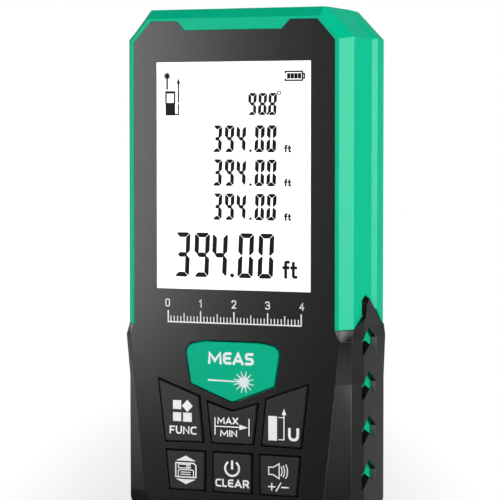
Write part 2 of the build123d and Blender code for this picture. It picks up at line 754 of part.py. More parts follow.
with BuildPart() as optics_chassis:
    add(end_slab(CARRIER_PLATE, OPTICS_TOP))
    add(funnel(*RECEIVER, FUNNEL_FOOT, FUNNEL_MOUTH, SENSOR_Z, SLEEVE_HIGH))
    add(funnel(*EMITTER, BARREL_RADIUS + 1, BARREL_RADIUS + 1, CARRIER_LOW, SLEEVE_HIGH))
    add(block((EMITTER[0], RECEIVER[0]), RIB_Y, (CARRIER_LOW, SLEEVE_HIGH)))
    add(across(BRACKET_HALF, (OPTICS_POST_BACK, BRACKET_BACK), BRACKET_Z))
    add(block(LINK_X, (BRACKET_BACK - 0.2, LINK_BACK), BRACKET_Z))
    add(
        funnel(
            *RECEIVER, FUNNEL_FOOT - FUNNEL_WALL, FUNNEL_MOUTH - FUNNEL_WALL,
            SENSOR_Z - 1, LENS_SEAT,
        ),
        mode=Mode.SUBTRACT,
    )
    add(post(*RECEIVER, LENS_RADIUS + FIT, LENS_SEAT, OPTICS_TOP + 1), mode=Mode.SUBTRACT)
    add(post(*EMITTER, BARREL_RADIUS + FIT, SENSOR_Z, OPTICS_TOP + 1), mode=Mode.SUBTRACT)
    for x, z in post_spots:
        add(peg(x, z, SMALL_SCREW + BORE_ROOM, FRONT, 0.0), mode=Mode.SUBTRACT)

with BuildPart() as optics_screws:
    for x, z in post_spots:
        add(screw(x, z, BRACKET_BACK, 1.7, 1.0, SMALL_SCREW, 5.6))

with BuildPart() as laser_barrel:
    add(post(*EMITTER, BARREL_RADIUS, CARRIER_LOW + 0.1, OPTICS_TOP - 0.5))
    add(post(*EMITTER, BARREL_BORE, SENSOR_Z, OPTICS_TOP), mode=Mode.SUBTRACT)
    add(post(*EMITTER, DIODE_RADIUS + FIT, SENSOR_Z, DIODE_Z + DIODE_BASE), mode=Mode.SUBTRACT)
    add(
        post(*EMITTER, COLLIMATOR_RADIUS + FIT, COLLIMATOR_Z - SEAT, OPTICS_TOP),
        mode=Mode.SUBTRACT,
    )


def draw_diode():
    """Half profile of the laser diode's can: base, stepped cap and flat top."""
    Polyline(
        (0, DIODE_Z),
        (DIODE_RADIUS, DIODE_Z),
        (DIODE_RADIUS, DIODE_Z + DIODE_BASE),
        (DIODE_RADIUS - 1, DIODE_Z + DIODE_BASE),
        (DIODE_RADIUS - 1, DIODE_Z + DIODE_HEIGHT),
        (0, DIODE_Z + DIODE_HEIGHT),
        close=True,
    )


def draw_lens(radius, low, edge, rise):
    """Half profile of a lens: flat below, a straight edge and a face domed in two steps."""
    shoulder = low + edge
    Polyline(
        (0, low),
        (radius, low),
        (radius, shoulder),
        (radius / 2, shoulder + 0.75 * rise),
        (0, shoulder + rise),
        close=True,
    )


laser_diode = turned(draw_diode, *EMITTER)
collimator_lens = post(
    *EMITTER, COLLIMATOR_RADIUS, COLLIMATOR_Z, COLLIMATOR_Z + COLLIMATOR_THICK
)
receiver_lens = turned(
    lambda: draw_lens(LENS_RADIUS, LENS_SEAT + SEAT, edge=2.4, rise=1.4), *RECEIVER
)

with BuildPart() as receiver_board:
    add(block(SENSOR_BOARD_X, SENSOR_BOARD_Y, (SENSOR_Z - SENSOR_BOARD_THICK, SENSOR_Z)))

with BuildPart() as receiver_sensor:
    add(post(*RECEIVER, SENSOR_RADIUS, SENSOR_Z, SENSOR_Z + SENSOR_HEIGHT))

with BuildPart() as end_bezel:
    add(end_slab(OPTICS_TOP + SEAT, BEZEL_LIP, 0.95))
    add(end_slab(BEZEL_LIP, BEZEL_TOP))
    add(post(*RECEIVER, RECEIVER_HOLE, OPTICS_TOP, BEZEL_TOP), mode=Mode.SUBTRACT)
    with Locations((*RECEIVER, BEZEL_TOP - FLARE)):
        Cone(
            RECEIVER_HOLE, RECEIVER_HOLE + FLARE, FLARE,
            align=(Align.CENTER, Align.CENTER, Align.MIN), mode=Mode.SUBTRACT,
        )
    add(post(*EMITTER, EMITTER_HOLE, OPTICS_TOP, BEZEL_TOP + 1), mode=Mode.SUBTRACT)
    add(post(*EMITTER, EMITTER_PANE + SEAT, OPTICS_TOP, OPTICS_TOP + 1), mode=Mode.SUBTRACT)

with BuildPart() as emitter_window:
    add(post(*EMITTER, EMITTER_PANE, OPTICS_TOP + 0.1, OPTICS_TOP + 0.95))

# ---------------------------------------------------------------- battery bay
CONTACT = 0.4             # thickness of the bay's contact plates
CONTACT_HALF = 4.4
CONTACT_Y = (0.4, 9.0)
NUB = 0.8                 # height of a cell's positive nub
NUB_RADIUS = 1.9

with BuildPart() as battery_cells:
    for x, up in ((-CELL_X, True), (CELL_X, False)):
        low = BAY_HIGH - CONTACT - SEAT - CELL_LENGTH if up else BAY_LOW + CONTACT + SEAT
        body_low = low if up else low + NUB
        nub_low = low + CELL_LENGTH - NUB if up else low
        add(post(x, CELL_Y, CELL_RADIUS, body_low, body_low + CELL_LENGTH - NUB))
        add(post(x, CELL_Y, NUB_RADIUS, nub_low, nub_low + NUB))

with BuildPart() as battery_contacts:
    for x in (-CELL_X, CELL_X):
        add(block(
            (x - CONTACT_HALF, x + CONTACT_HALF), CONTACT_Y, (BAY_HIGH - CONTACT, BAY_HIGH)
        ))
    add(across(CELL_X + CONTACT_HALF, CONTACT_Y, (BAY_LOW, BAY_LOW + CONTACT)))

SPRING_STRIP = 0.3        # thickness of the bent strip
SPRING_HALF = 2.5         # half its width
SPRING_LOW = BAY_LOW + CONTACT + SEAT + SPRING_STRIP / 2
SPRING_ROOM = BAY_HIGH - BAY_LOW - CELL_LENGTH - 2 * CONTACT - SEAT
SPRING_HIGH = SPRING_LOW + SPRING_ROOM - SPRING_STRIP - 3 * SEAT

with BuildPart() as cell_spring:
    with BuildSketch(side_plane(-CELL_X - SPRING_HALF)):
        with BuildLine():
            FilletPolyline(
                (CELL_Y - 3.4, SPRING_LOW),
                (CELL_Y + 3.4, SPRING_LOW),
                (CELL_Y - 3.0, (SPRING_LOW + SPRING_HIGH) / 2),
                (CELL_Y + 1.2, SPRING_HIGH),
                (CELL_Y + 2.4, SPRING_HIGH - 0.9),
                radius=0.3,
            )
        trace(line_width=SPRING_STRIP)
    extrude(amount=2 * SPRING_HALF)

BAY_MIDDLE = Axis((0, CELL_Y, (BAY_LOW + BAY_HIGH) / 2), (0, 1, 0))
with BuildPart() as battery_springs:
    add(cell_spring.part)
    add(cell_spring.part.rotate(BAY_MIDDLE, 180))

# ---------------------------------------------------------------- battery door
GRIP_LINES = 4            # the finger grooves narrow upwards like an arrow
GRIP_LOW = 12.0
GRIP_PITCH = 2.2
GRIP_HALF = 8.0           # half length of the lowest groove
GRIP_STEP = 1.4           # how much shorter each next half is
GRIP_WIDTH = 1.0
GRIP_DEPTH = 0.5
DOOR_CORNER = 1.0
DOOR_BACK = BACK - WALL   # inner face of the door
TONGUE_FRONT = DOOR_BACK - 1.5
LATCH_HALF = 5.4          # the lower edge springs on a tab between two slits
LATCH_SLIT = 0.6
LATCH_HIGH = 11.2

with BuildPart() as battery_door:
    add(across(
        DOOR_HALF - DOOR_GAP, (DOOR_BACK, BACK), (DOOR_LOW + DOOR_GAP, DOOR_HIGH - DOOR_GAP)
    ))
    chamfer(battery_door.edges().filter_by(Axis.Y), DOOR_CORNER)
    for count in range(GRIP_LINES):
        z = GRIP_LOW + GRIP_PITCH * count
        add(
            across(
                GRIP_HALF - GRIP_STEP * count, (BACK - GRIP_DEPTH, BACK + 1), (z, z + GRIP_WIDTH)
            ),
            mode=Mode.SUBTRACT,
        )
    for x in (-LATCH_HALF, LATCH_HALF):
        add(
            block(
                (x - LATCH_SLIT / 2, x + LATCH_SLIT / 2), (DOOR_BACK - 1, BACK + 1),
                (DOOR_LOW, LATCH_HIGH),
            ),
            mode=Mode.SUBTRACT,
        )
    for x in (-TONGUE_X, TONGUE_X):
        width = (x - TONGUE_HALF, x + TONGUE_HALF)
        add(block(width, (TONGUE_FRONT, DOOR_BACK), (TONGUE_LOW, TONGUE_LOW + 2.5)))
        add(block(
            width, (TONGUE_FRONT, DOOR_BACK - 0.3), (TONGUE_LOW, DOOR_HIGH + TONGUE_REACH)
        ))

# ---------------------------------------------------------------- fittings on the back
with BuildPart() as tripod_insert:
    add(rod(0, TRIPOD_Z, INSERT_ROOM - 0.03, INSERT_SEAT + SEAT, BACK - 0.2))
    add(rod(0, TRIPOD_Z, TRIPOD_RADIUS, INSERT_SEAT + 1.1, BACK + 1), mode=Mode.SUBTRACT)

with BuildPart() as strap_pin:
    add(post(*STRAP_PIN, PIN_RADIUS, PIN_LOW, PIN_HIGH))

# ---------------------------------------------------------------- write the pieces
pieces = {
    "front_housing": front_housing.part,
    "rear_housing": rear_housing.part,
    "grip_boot": grip_boot.part,
    "face_plate": face_plate.part,
    "display_window": display_window.part,
    "display_gasket": display_gasket.part,
    "lcd_glass": lcd_glass.part,
    "lcd_backlight": lcd_backlight.part,
    "lcd_frame": lcd_frame.part,
    "lcd_connector": lcd_connector.part,
    "main_board": main_board.part,
    "board_components": board_components.part,
    "dome_switches": dome_switches.part,
    "buzzer": buzzer.part,
    "board_screws": board_screws.part,
    "keypad_mat": keypad_mat.part,
    "housing_screws": housing_screws.part,
    "optics_chassis": optics_chassis.part,
    "optics_screws": optics_screws.part,
    "laser_barrel": laser_barrel.part,
    "laser_diode": laser_diode,
    "collimator_lens": collimator_lens,
    "receiver_lens": receiver_lens,
    "receiver_board": receiver_board.part,
    "receiver_sensor": receiver_sensor.part,
    "end_bezel": end_bezel.part,
    "emitter_window": emitter_window.part,
    "battery_cells": battery_cells.part,
    "battery_contacts": battery_contacts.part,
    "battery_springs": battery_springs.part,
    "battery_door": battery_door.part,
    "tripod_insert": tripod_insert.part,
    "strap_pin": strap_pin.part,
    **{name: key.part for name, key in keys.items()},
}
for name, part in pieces.items():
    save(part, name)
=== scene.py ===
"""Finishes, prints, fittings and studio for a handheld laser distance meter.

Sizes of pieces and prints are millimetres in the meter's own frame: X to the right seen from
the front, Y from the front face to the back, Z up. MM turns them into metres for the meshes.
Sizes in the materials and the studio are metres.
"""

import math

import bpy
import numpy as np
from bpy.props import FloatProperty, FloatVectorProperty, PointerProperty
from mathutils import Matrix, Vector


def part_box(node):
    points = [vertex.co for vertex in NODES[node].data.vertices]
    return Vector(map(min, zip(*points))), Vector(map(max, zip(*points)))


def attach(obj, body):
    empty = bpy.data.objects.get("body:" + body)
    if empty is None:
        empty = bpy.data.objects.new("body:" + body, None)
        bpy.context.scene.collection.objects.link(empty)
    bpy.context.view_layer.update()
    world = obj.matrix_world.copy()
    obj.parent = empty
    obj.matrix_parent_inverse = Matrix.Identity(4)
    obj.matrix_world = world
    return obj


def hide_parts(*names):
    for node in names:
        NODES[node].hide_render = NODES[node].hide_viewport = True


bl_info = {
    "name": "Laser Distance Meter",
    "version": (1, 0, 0),
    "blender": (4, 5, 0),
    "location": "View3D > Sidebar > Meter",
    "description": "Dresses the solids of a handheld laser distance meter",
    "category": "Object",
}

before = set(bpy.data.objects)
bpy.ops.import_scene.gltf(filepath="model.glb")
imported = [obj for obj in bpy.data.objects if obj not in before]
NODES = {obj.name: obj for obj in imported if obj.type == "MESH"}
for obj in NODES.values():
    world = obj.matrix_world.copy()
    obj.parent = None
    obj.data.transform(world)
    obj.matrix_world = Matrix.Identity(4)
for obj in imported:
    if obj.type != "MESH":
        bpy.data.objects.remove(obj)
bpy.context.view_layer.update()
MM = 0.001


def node_range(name, axis):
    """Lowest and highest value of a frame node along an axis, in millimetres."""
    low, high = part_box(name)
    return low[axis] / MM, high[axis] / MM


PLATE_FRONT = node_range("face_plate", 1)[0]
KEY_FRONT = node_range("func_key", 1)[0]
MEAS_FRONT = node_range("meas_key", 1)[0]
INSERT_FRONT, INSERT_BACK = node_range("tripod_insert", 1)
TRIPOD_Z = sum(node_range("tripod_insert", 2)) / 2

# Beyond this distance aside, a face of the boot that faces down belongs to a side window and gets
# painted light.
WINDOW_FLOOR = (node_range("rear_housing", 0)[1] - 0.2) * MM
# The web behind the keys, darkened with painted shade: half its width, and its upper end.
KEY_FIELD_HALF = (node_range("keypad_mat", 0)[1] + 0.6) * MM
KEY_FIELD_TOP = (node_range("meas_key", 2)[1] + 2.0) * MM
# The boot's bevels turn glossy from the first of these heights down to the second.
BEVEL_GLOSS = (43.0 * MM, 33.0 * MM)


# ---------------------------------------------------------------- settings
def colour(label, text, default):
    """A colour setting."""
    return FloatVectorProperty(
        name=label, description=text, subtype="COLOR", size=3, min=0.0, max=1.0, default=default
    )


def brightness(label, text, default):
    """A setting for the strength of a light."""
    return FloatProperty(name=label, description=text, default=default, min=0.0)


class MeterColours(bpy.types.PropertyGroup):
    """Colours of the mouldings and prints."""

    shell: colour("Shell", "Moulded shells", (0.0, 0.546, 0.296))
    meas: colour("Measuring key", "The large key", (0.002, 0.50, 0.285))
    boot: colour("Boot", "Slip-on rubber grip", (0.003, 0.003, 0.003))
    # Painted sheen: a lighter tone on the grip's sides stands in for the sheen they show at a
    # slant.
    flank: colour("Boot flank", "Sides of the grip, greyed by handling", (0.011, 0.011, 0.0115))
    # Painted light: the side windows' walls that face forwards or down are set lighter than their
    # shade.
    wall: colour("Window wall", "Walls of the side windows that face forwards", (0.15, 0.15, 0.15))
    brow: colour("Window brow", "Walls of the side windows that face down", (0.18, 0.18, 0.18))
    # Painted shade: the dark tone the green shell gets behind the keys, seen through their gaps.
    web: colour("Key web", "Shell behind the plate round the keys", (0.05, 0.05, 0.05))
    plate: colour("Face plate", "Satin plate round the display", (0.006, 0.006, 0.006))
    keys: colour("Keys", "The six dark keys", (0.014, 0.014, 0.015))
    ink: colour("Ink", "Printed scale", (0.80, 0.80, 0.80))
    key_ink: colour("Key ink", "Captions and signs on the six dark keys", (0.92, 0.92, 0.92))
    meas_ink: colour("Measuring key's ink", "Caption and sign on the large key", (0.75, 0.86, 0.90))
    figures: colour("Figures", "Dark segments of the display", (0.010, 0.008, 0.008))


class MeterPrints(bpy.types.PropertyGroup):
    """Sizes of the prints and of the display's segments."""

    relief: FloatProperty(
        name="Relief", description="Thickness of a print above its surface",
        default=0.01 * MM, min=0.0, unit="LENGTH",
    )
    glow: brightness("Glow", "Strength of the display's own light", 0.3)
    slant: FloatProperty(
        name="Slant", description="Lean of the display's figures",
        default=math.radians(2.4), subtype="ANGLE",
    )


class MeterStudio(bpy.types.PropertyGroup):
    """Strengths of the studio's lamps."""

    world: brightness("Surroundings", "Even light", 0.4)
    side: brightness("Side lamp", "Large lamp on the right", 6.5)
    front: brightness("Front lamp", "Large lamp beside the camera", 4.0)
    card: brightness("Front card", "Near lamp that the face mirrors", 1.68)
    rim: brightness("Rim lamp", "Narrow lamp that the right bevels mirror", 2.0)
    top: brightness("Top lamp", "Large lamp overhead", 2.0)


# ---------------------------------------------------------------- surfaces
BEND_POINTS = 5           # points on a softened corner
SAME_POINT = 1e-5         # runs shorter than this are left out
LAYERS, LAYER = 4, 0.001  # the parts of a print lie at so many heights in turn, so far apart
LEAST_SPREAD = 0.45       # keeps the mitre of a sharp corner short


def grid_quads(rows, columns, wrap_rows=False, wrap_columns=False):
    """Quads of a grid of points, closed on itself along either direction where asked."""
    row, column = np.mgrid[0:rows - (not wrap_rows), 0:columns - (not wrap_columns)]
    next_row, next_column = (row + 1) % rows, (column + 1) % columns
    corners = [
        row * columns + column,
        row * columns + next_column,
        next_row * columns + next_column,
        next_row * columns + column,
    ]
    return np.stack(corners, axis=-1).reshape(-1, 4)


def outward(points, faces):
    """The faces, turned round if the solid they close would have a negative volume."""
    a, b, c = (points[faces[:, k]] for k in range(3))
    d = points[faces[:, -1]]
    doubled = np.einsum("ij,ij->", a, np.cross(b, c)) + np.einsum("ij,ij->", a, np.cross(c, d))
    return faces if doubled > 0 else faces[:, ::-1]


def skin(rings):
    """A closed skin over a stack of closed rings, an array (rings, points, 3).

    Neighbouring rings are joined by quads, and each end ring by a fan to its middle.
    """
    count, around = rings.shape[:2]
    points = np.concatenate([rings.reshape(-1, 3), rings[[0, -1]].mean(axis=1)])
    first = np.arange(around)
    after = (first + 1) % around
    last = (count - 1) * around
    middle = count * around
    fans = [
        np.stack([after, first, np.full(around, middle), np.full(around, middle)], axis=-1),
        np.stack(
            [last + first, last + after, *2 * [np.full(around, middle + 1)]], axis=-1
        ),
    ]
    faces = np.concatenate([grid_quads(count, around, wrap_columns=True), *fans])
    return points, outward(points, faces)


def directions(path, closed=False):
    """Unit vectors along the runs of a path."""
    runs = np.diff(np.concatenate([path, path[:1]]) if closed else path, axis=0)
    return runs / np.linalg.norm(runs, axis=1, keepdims=True)


def softened(path, radius):
    """The path with each corner B drawn as P(t) = (1-t)^2 A + 2t(1-t) B + t^2 C.

    A and C lie on the two runs that meet there, the radius or half a run away from B.
    """
    path = np.asarray(path, float)
    if len(path) < 3 or not radius:
        return path
    runs = directions(path)
    cut = np.minimum(radius, np.linalg.norm(np.diff(path, axis=0), axis=1) / 2)
    corner = path[1:-1]
    reach = np.minimum(cut[:-1], cut[1:])[:, None]
    a, b, c = (
        point[:, None] for point in (corner - runs[:-1] * reach, corner, corner + runs[1:] * reach)
    )
    t = np.linspace(0, 1, BEND_POINTS)[None, :, None]
    bends = (1 - t) ** 2 * a + 2 * t * (1 - t) * b + t ** 2 * c
    line = np.concatenate([path[:1], bends.reshape(-1, 2), path[-1:]])
    moved = np.linalg.norm(np.diff(line, axis=0), axis=1) > SAME_POINT
    return line[np.concatenate([[True], moved])]


def arc(centre, radius, start, end, steps=16):
    """Points of an arc from one angle to another, in degrees from the right."""
    angle = np.radians(np.linspace(start, end, steps))
    return np.column_stack([
        centre[0] + radius * np.cos(angle), centre[1] + radius * np.sin(angle)
    ])


def circle(centre, radius):
    """Points of a whole circle, the first one not repeated."""
    return arc(centre, radius, 0, 360, 33)[:-1]


class Pen:
    """Draws the parts of a print, as the front view shows them, on a surface at one depth.

    Each part is a thin closed plate. Neighbouring parts lie at different heights, so that they
    stay apart where they cross.
    """

    def __init__(self, front, relief):
        self.front, self.relief = front, relief
        self.parts = []

    def band(self, upper, lower, closed=False):
        """A plate ruled between two edges.

        Its face is P(s, t) = (1 - t) upper(s) + t lower(s), a relief in front of the surface.
        The same rectangular profile is carried along s, and the ends are capped.
        """
        upper, lower = np.asarray(upper, float), np.asarray(lower, float)
        count = len(upper)
        near, far = self.front - self.relief, self.front + 0.5 * self.relief
        profile = ((upper, far), (upper, near), (lower, near), (lower, far))
        points = np.concatenate([
            np.column_stack([edge[:, 0], np.full(count, depth), edge[:, 1]])
            for edge, depth in profile
        ])
        faces = grid_quads(4, count, wrap_rows=True, wrap_columns=closed)
        if not closed:
            ends = np.arange(4) * count
            faces = np.concatenate([faces, [ends], [ends[::-1] + count - 1]])
        lift = (0.0, LAYER * (len(self.parts) % LAYERS), 0.0)
        self.parts.append((points - lift, outward(points, faces)))

    def stroke(self, path, width, closed=False, square=False):
        """A line of even width along a path: each point moves half the width to either side.

        The move is along the mitred normal, the sum of the two neighbouring runs' normals
        divided by one plus their dot product. Square ends reach half the width further.
        """
        path = np.array(path, float)
        runs = directions(path, closed)
        if square:
            path[0] -= runs[0] * width / 2
            path[-1] += runs[-1] * width / 2
        normals = np.column_stack([-runs[:, 1], runs[:, 0]])
        if closed:
            before, behind = np.roll(normals, 1, axis=0), normals
        else:
            before = np.concatenate([normals[:1], normals])
            behind = np.concatenate([normals, normals[-1:]])
        spread = np.maximum(1 + np.einsum("ij,ij->i", before, behind), LEAST_SPREAD)
        shift = (before + behind) / spread[:, None] * width / 2
        self.band(path + shift, path - shift, closed)

    def ring(self, centre, radius, width):
        """A line of even width along a circle."""
        self.stroke(circle(centre, radius), width, closed=True)

    def fan(self, outline, centre):
        """A filled outline, ruled from its edge to one inner point."""
        outline = np.asarray(outline, float)
        self.band(outline, np.tile(centre, (len(outline), 1)), closed=True)

    def dot(self, centre, radius):
        """A filled circle."""
        self.fan(circle(centre, radius), centre)

    def box(self, left, right, low, high):
        """A filled rectangle."""
        self.band([(left, high), (right, high)], [(left, low), (right, low)])


def piece(name, parts, body, material):
    """One object from several closed meshes, riding on a body of the frame.

    A quad with two corners on the same point becomes a triangle.
    """
    starts = np.cumsum([0] + [len(points) for points, _ in parts])
    points = np.concatenate([points for points, _ in parts]) * MM
    faces = [
        [*dict.fromkeys(face)]
        for start, (_, quads) in zip(starts, parts)
        for face in (quads + start).tolist()
    ]
    mesh = bpy.data.meshes.new(name)
    mesh.from_pydata(points.tolist(), [], faces)
    mesh.validate()
    mesh.materials.append(material)
    made = bpy.data.objects.new(name, mesh)
    bpy.context.scene.collection.objects.link(made)
    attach(made, body)
    return made


# ---------------------------------------------------------------- materials
GLASS_ROUGHNESS = 0.03
# How far a face of the boot has to turn sideways, forwards or down: where its painted sheen or
# painted light starts and where it is full.
FLANK_TURN, WALL_TURN, BROW_TURN = (0.9, 0.985), (0.97, 0.995), (0.6, 0.7)


def plug(tree, socket, value):
    """Links an input socket to another socket, or sets it to a value."""
    if isinstance(value, bpy.types.NodeSocket):
        tree.links.new(value, socket)
    else:
        socket.default_value = value


def node(tree, kind, settings=None, **sockets):
    """A shader node with its settings and its sockets set or linked."""
    made = tree.nodes.new(kind)
    for key, value in (settings or {}).items():
        setattr(made, key, value)
    for key, value in sockets.items():
        plug(tree, made.inputs[key.replace("_", " ")], value)
    return made


def math_node(tree, operation, first, second=0.0):
    """The output of a Math node on two values or sockets."""
    made = node(tree, "ShaderNodeMath", {"operation": operation})
    for socket, value in zip(made.inputs, (first, second)):
        plug(tree, socket, value)
    return made.outputs[0]


def blended(tree, share, first, second):
    """The output of a Mix node that goes from the first colour to the second."""
    made = node(tree, "ShaderNodeMix", {"data_type": "RGBA"}, Factor=share)
    for socket, value in zip(made.inputs[6:8], (first, second)):
        plug(tree, socket, value)
    return made.outputs[2]


def ramp(tree, value, start=0.0, end=1.0, low=0.0, high=1.0):
    """A level that goes from low to high as the value goes from start to end."""
    return node(
        tree, "ShaderNodeMapRange", Value=value, From_Min=start, From_Max=end, To_Min=low,
        To_Max=high,
    ).outputs["Result"]


def place_of(tree, output):
    """X, Y and Z of one output of Texture Coordinate, such as a piece's own normal."""
    place = node(tree, "ShaderNodeTexCoord")
    return node(tree, "ShaderNodeSeparateXYZ", Vector=place.outputs[output]).outputs


def finish(name, base, roughness, **sockets):
    """A new material: its shader, with the plain sockets set, and its node tree."""
    material = bpy.data.materials.new(name)
    material.use_nodes = True
    tree = material.node_tree
    shader = tree.nodes["Principled BSDF"]
    shader.inputs["Base Color"].default_value = (*base, 1.0)
    shader.inputs["Roughness"].default_value = roughness
    for key, value in sockets.items():
        shader.inputs[key.replace("_", " ")].default_value = value
    material.diffuse_color = (*base, 1.0)
    return material, tree, shader


def object_noise(tree, scale, detail=2.0, stretch=(1.0, 1.0, 1.0)):
    """Noise in the piece's own coordinates, stretched along its axes."""
    place = node(tree, "ShaderNodeTexCoord")
    turned = node(tree, "ShaderNodeMapping", Vector=place.outputs["Object"], Scale=stretch)
    return node(
        tree, "ShaderNodeTexNoise", Vector=turned.outputs["Vector"], Scale=scale, Detail=detail
    ).outputs["Fac"]


def mottle(tree, shader, base, spread, scale):
    """Lets the colour vary slightly over the piece, as pigment does in a moulding."""
    dark, light = ((*[v * (1 + way * spread) for v in base], 1.0) for way in (-1, 1))
    varied = blended(tree, object_noise(tree, scale), dark, light)
    tree.links.new(varied, shader.inputs["Base Color"])


def uneven_gloss(tree, shader, roughness, spread, scale, stretch=(1.0, 1.0, 1.0)):
    """Lets the roughness vary, as handling and tooling leave it."""
    noise = object_noise(tree, scale, 3.0, stretch)
    level = ramp(tree, noise, low=roughness - spread, high=roughness + spread)
    tree.links.new(level, shader.inputs["Roughness"])


def grain(tree, shader, scale, depth, edge=0.0, strength=0.4):
    """Fine surface grain, over edges that are rounded by the given radius in metres."""
    bump = node(
        tree, "ShaderNodeBump", Height=object_noise(tree, scale, 4.0), Strength=strength,
        Distance=depth,
    )
    if edge:
        soft = node(tree, "ShaderNodeBevel", {"samples": 6}, Radius=edge)
        tree.links.new(soft.outputs["Normal"], bump.inputs["Normal"])
    tree.links.new(bump.outputs["Normal"], shader.inputs["Normal"])


def moulding(name, base, roughness, edge, wear=0.04, **sockets):
    """Moulded plastic or rubber: mottled colour, uneven gloss, spark-eroded grain."""
    material, tree, shader = finish(name, base, roughness, **sockets)
    mottle(tree, shader, base, spread=0.04, scale=45.0)
    uneven_gloss(tree, shader, roughness, wear, scale=220.0)
    grain(tree, shader, scale=5200.0, depth=0.00002, edge=edge)
    return material


def turned_to(tree):
    """How far a surface faces sideways and forwards: |X| and -Y of its own normal."""
    part = place_of(tree, "Normal")
    sideways = math_node(tree, "ABSOLUTE", part["X"])
    return sideways, math_node(tree, "MULTIPLY", part["Y"], -1.0)


def polished_slopes(material, face, slope, start, end, heights=None):
    """Sets the specular level by the product of a surface's turns sideways and forwards.

    The product is nought on the front and on the sides and a half on a slope between them.
    The level goes from the face's at start to the slope's at end. Where heights are given,
    the slope's share also grows from none at the first height to all at the second.
    """
    tree = material.node_tree
    share = ramp(tree, math_node(tree, "MULTIPLY", *turned_to(tree)), start, end)
    if heights:
        rise = ramp(tree, place_of(tree, "Object")["Z"], *heights)
        share = math_node(tree, "MULTIPLY", share, rise)
    level = ramp(tree, share, low=face, high=slope)
    tree.links.new(level, tree.nodes["Principled BSDF"].inputs["Specular IOR Level"])


def tinted(material, share, tone):
    """Blends a tone into a material's colour by a share from 0 to 1."""
    tree = material.node_tree
    colour_in = tree.nodes["Principled BSDF"].inputs["Base Color"]
    blend = blended(tree, share, colour_in.links[0].from_socket, (*tone, 1.0))
    tree.links.new(blend, colour_in)


def greyed_flanks(boot, colours):
    """Painted light on the boot: a painted sheen on its sides, and painted light on the walls of
    its side windows.
    """
    tree = boot.node_tree
    sideways, forwards = turned_to(tree)
    downwards = math_node(tree, "MULTIPLY", place_of(tree, "Normal")["Z"], -1.0)
    outside = math_node(tree, "ABSOLUTE", place_of(tree, "Object")["X"])
    in_window = math_node(tree, "GREATER_THAN", outside, WINDOW_FLOOR)
    # Painted sheen on the sides, then painted light on the window walls that face forwards or down.
    tinted(boot, ramp(tree, sideways, *FLANK_TURN), colours.flank)
    tinted(boot, ramp(tree, forwards, *WALL_TURN), colours.wall)
    brow = math_node(tree, "MULTIPLY", ramp(tree, downwards, *BROW_TURN), in_window)
    tinted(boot, brow, colours.brow)


def dark_web(shell, tone):
    """Darkens the front shell behind the plate round the keys, seen only through their gaps:
    painted shade in those gaps.
    """
    tree = shell.node_tree
    place = place_of(tree, "Object")
    aside = math_node(tree, "ABSOLUTE", place["X"])
    across = math_node(tree, "LESS_THAN", aside, KEY_FIELD_HALF)
    below = math_node(tree, "LESS_THAN", place["Z"], KEY_FIELD_TOP)
    tinted(shell, math_node(tree, "MULTIPLY", across, below), tone)


def metal(name, base, roughness, stretch=(1.0, 1.0, 1.0)):
    """Turned or plated metal with fine tool marks along the unstretched directions."""
    material, tree, shader = finish(name, base, roughness, Metallic=1.0)
    mottle(tree, shader, base, spread=0.08, scale=300.0)
    uneven_gloss(tree, shader, roughness, spread=0.12, scale=900.0, stretch=stretch)
    grain(tree, shader, scale=2600.0, depth=0.000006, edge=0.00005, strength=0.3)
    return material


def glass(name, base, edge_colour):
    """Coated glass: the coating's tint grows towards grazing angles."""
    material, tree, shader = finish(
        name, base, GLASS_ROUGHNESS, Transmission_Weight=1.0, IOR=1.5
    )
    angle = node(tree, "ShaderNodeLayerWeight", Blend=0.35)
    tint = blended(tree, angle.outputs["Facing"], (*base, 1.0), (*edge_colour, 1.0))
    tree.links.new(tint, shader.inputs["Base Color"])
    uneven_gloss(tree, shader, GLASS_ROUGHNESS, spread=0.02, scale=80.0)
    return material


def circuit_board(name):
    """Solder mask over copper tracks: bricks in the board's own X and Z give the tracks."""
    mask, track = (0.012, 0.11, 0.045), (0.03, 0.20, 0.07)
    material, tree, shader = finish(name, mask, 0.35, Coat_Weight=0.4, Coat_Roughness=0.15)
    place = place_of(tree, "Object")
    flat = node(tree, "ShaderNodeCombineXYZ", X=place["X"], Y=place["Z"])
    tracks = node(
        tree, "ShaderNodeTexBrick", Vector=flat.outputs["Vector"], Scale=420.0, Mortar_Size=0.05,
        Color1=(*mask, 1.0), Color2=(*mask, 1.0), Mortar=(*track, 1.0),
    )
    tree.links.new(tracks.outputs["Color"], shader.inputs["Base Color"])
    return material


def lit_panel(name, glow):
    """The display's white face: evenly lit from behind, under a smooth clear pane."""
    white, roughness = (0.93, 0.94, 0.93), 0.35
    material, tree, shader = finish(
        name, white, roughness, Coat_Weight=0.25, Coat_Roughness=0.08,
        Emission_Color=(1.0, 1.0, 1.0, 1.0), Emission_Strength=glow,
    )
    mottle(tree, shader, white, spread=0.01, scale=30.0)
    uneven_gloss(tree, shader, roughness, spread=0.04, scale=120.0)
    return material


def printed(name, base, roughness=0.45, **sockets):
    """Screen-printed ink: near even, with the fine speckle of the mesh it passed."""
    material, tree, shader = finish(name, base, roughness, **sockets)
    mottle(tree, shader, base, spread=0.05, scale=4200.0)
    uneven_gloss(tree, shader, roughness, spread=0.06, scale=1500.0)
    return material


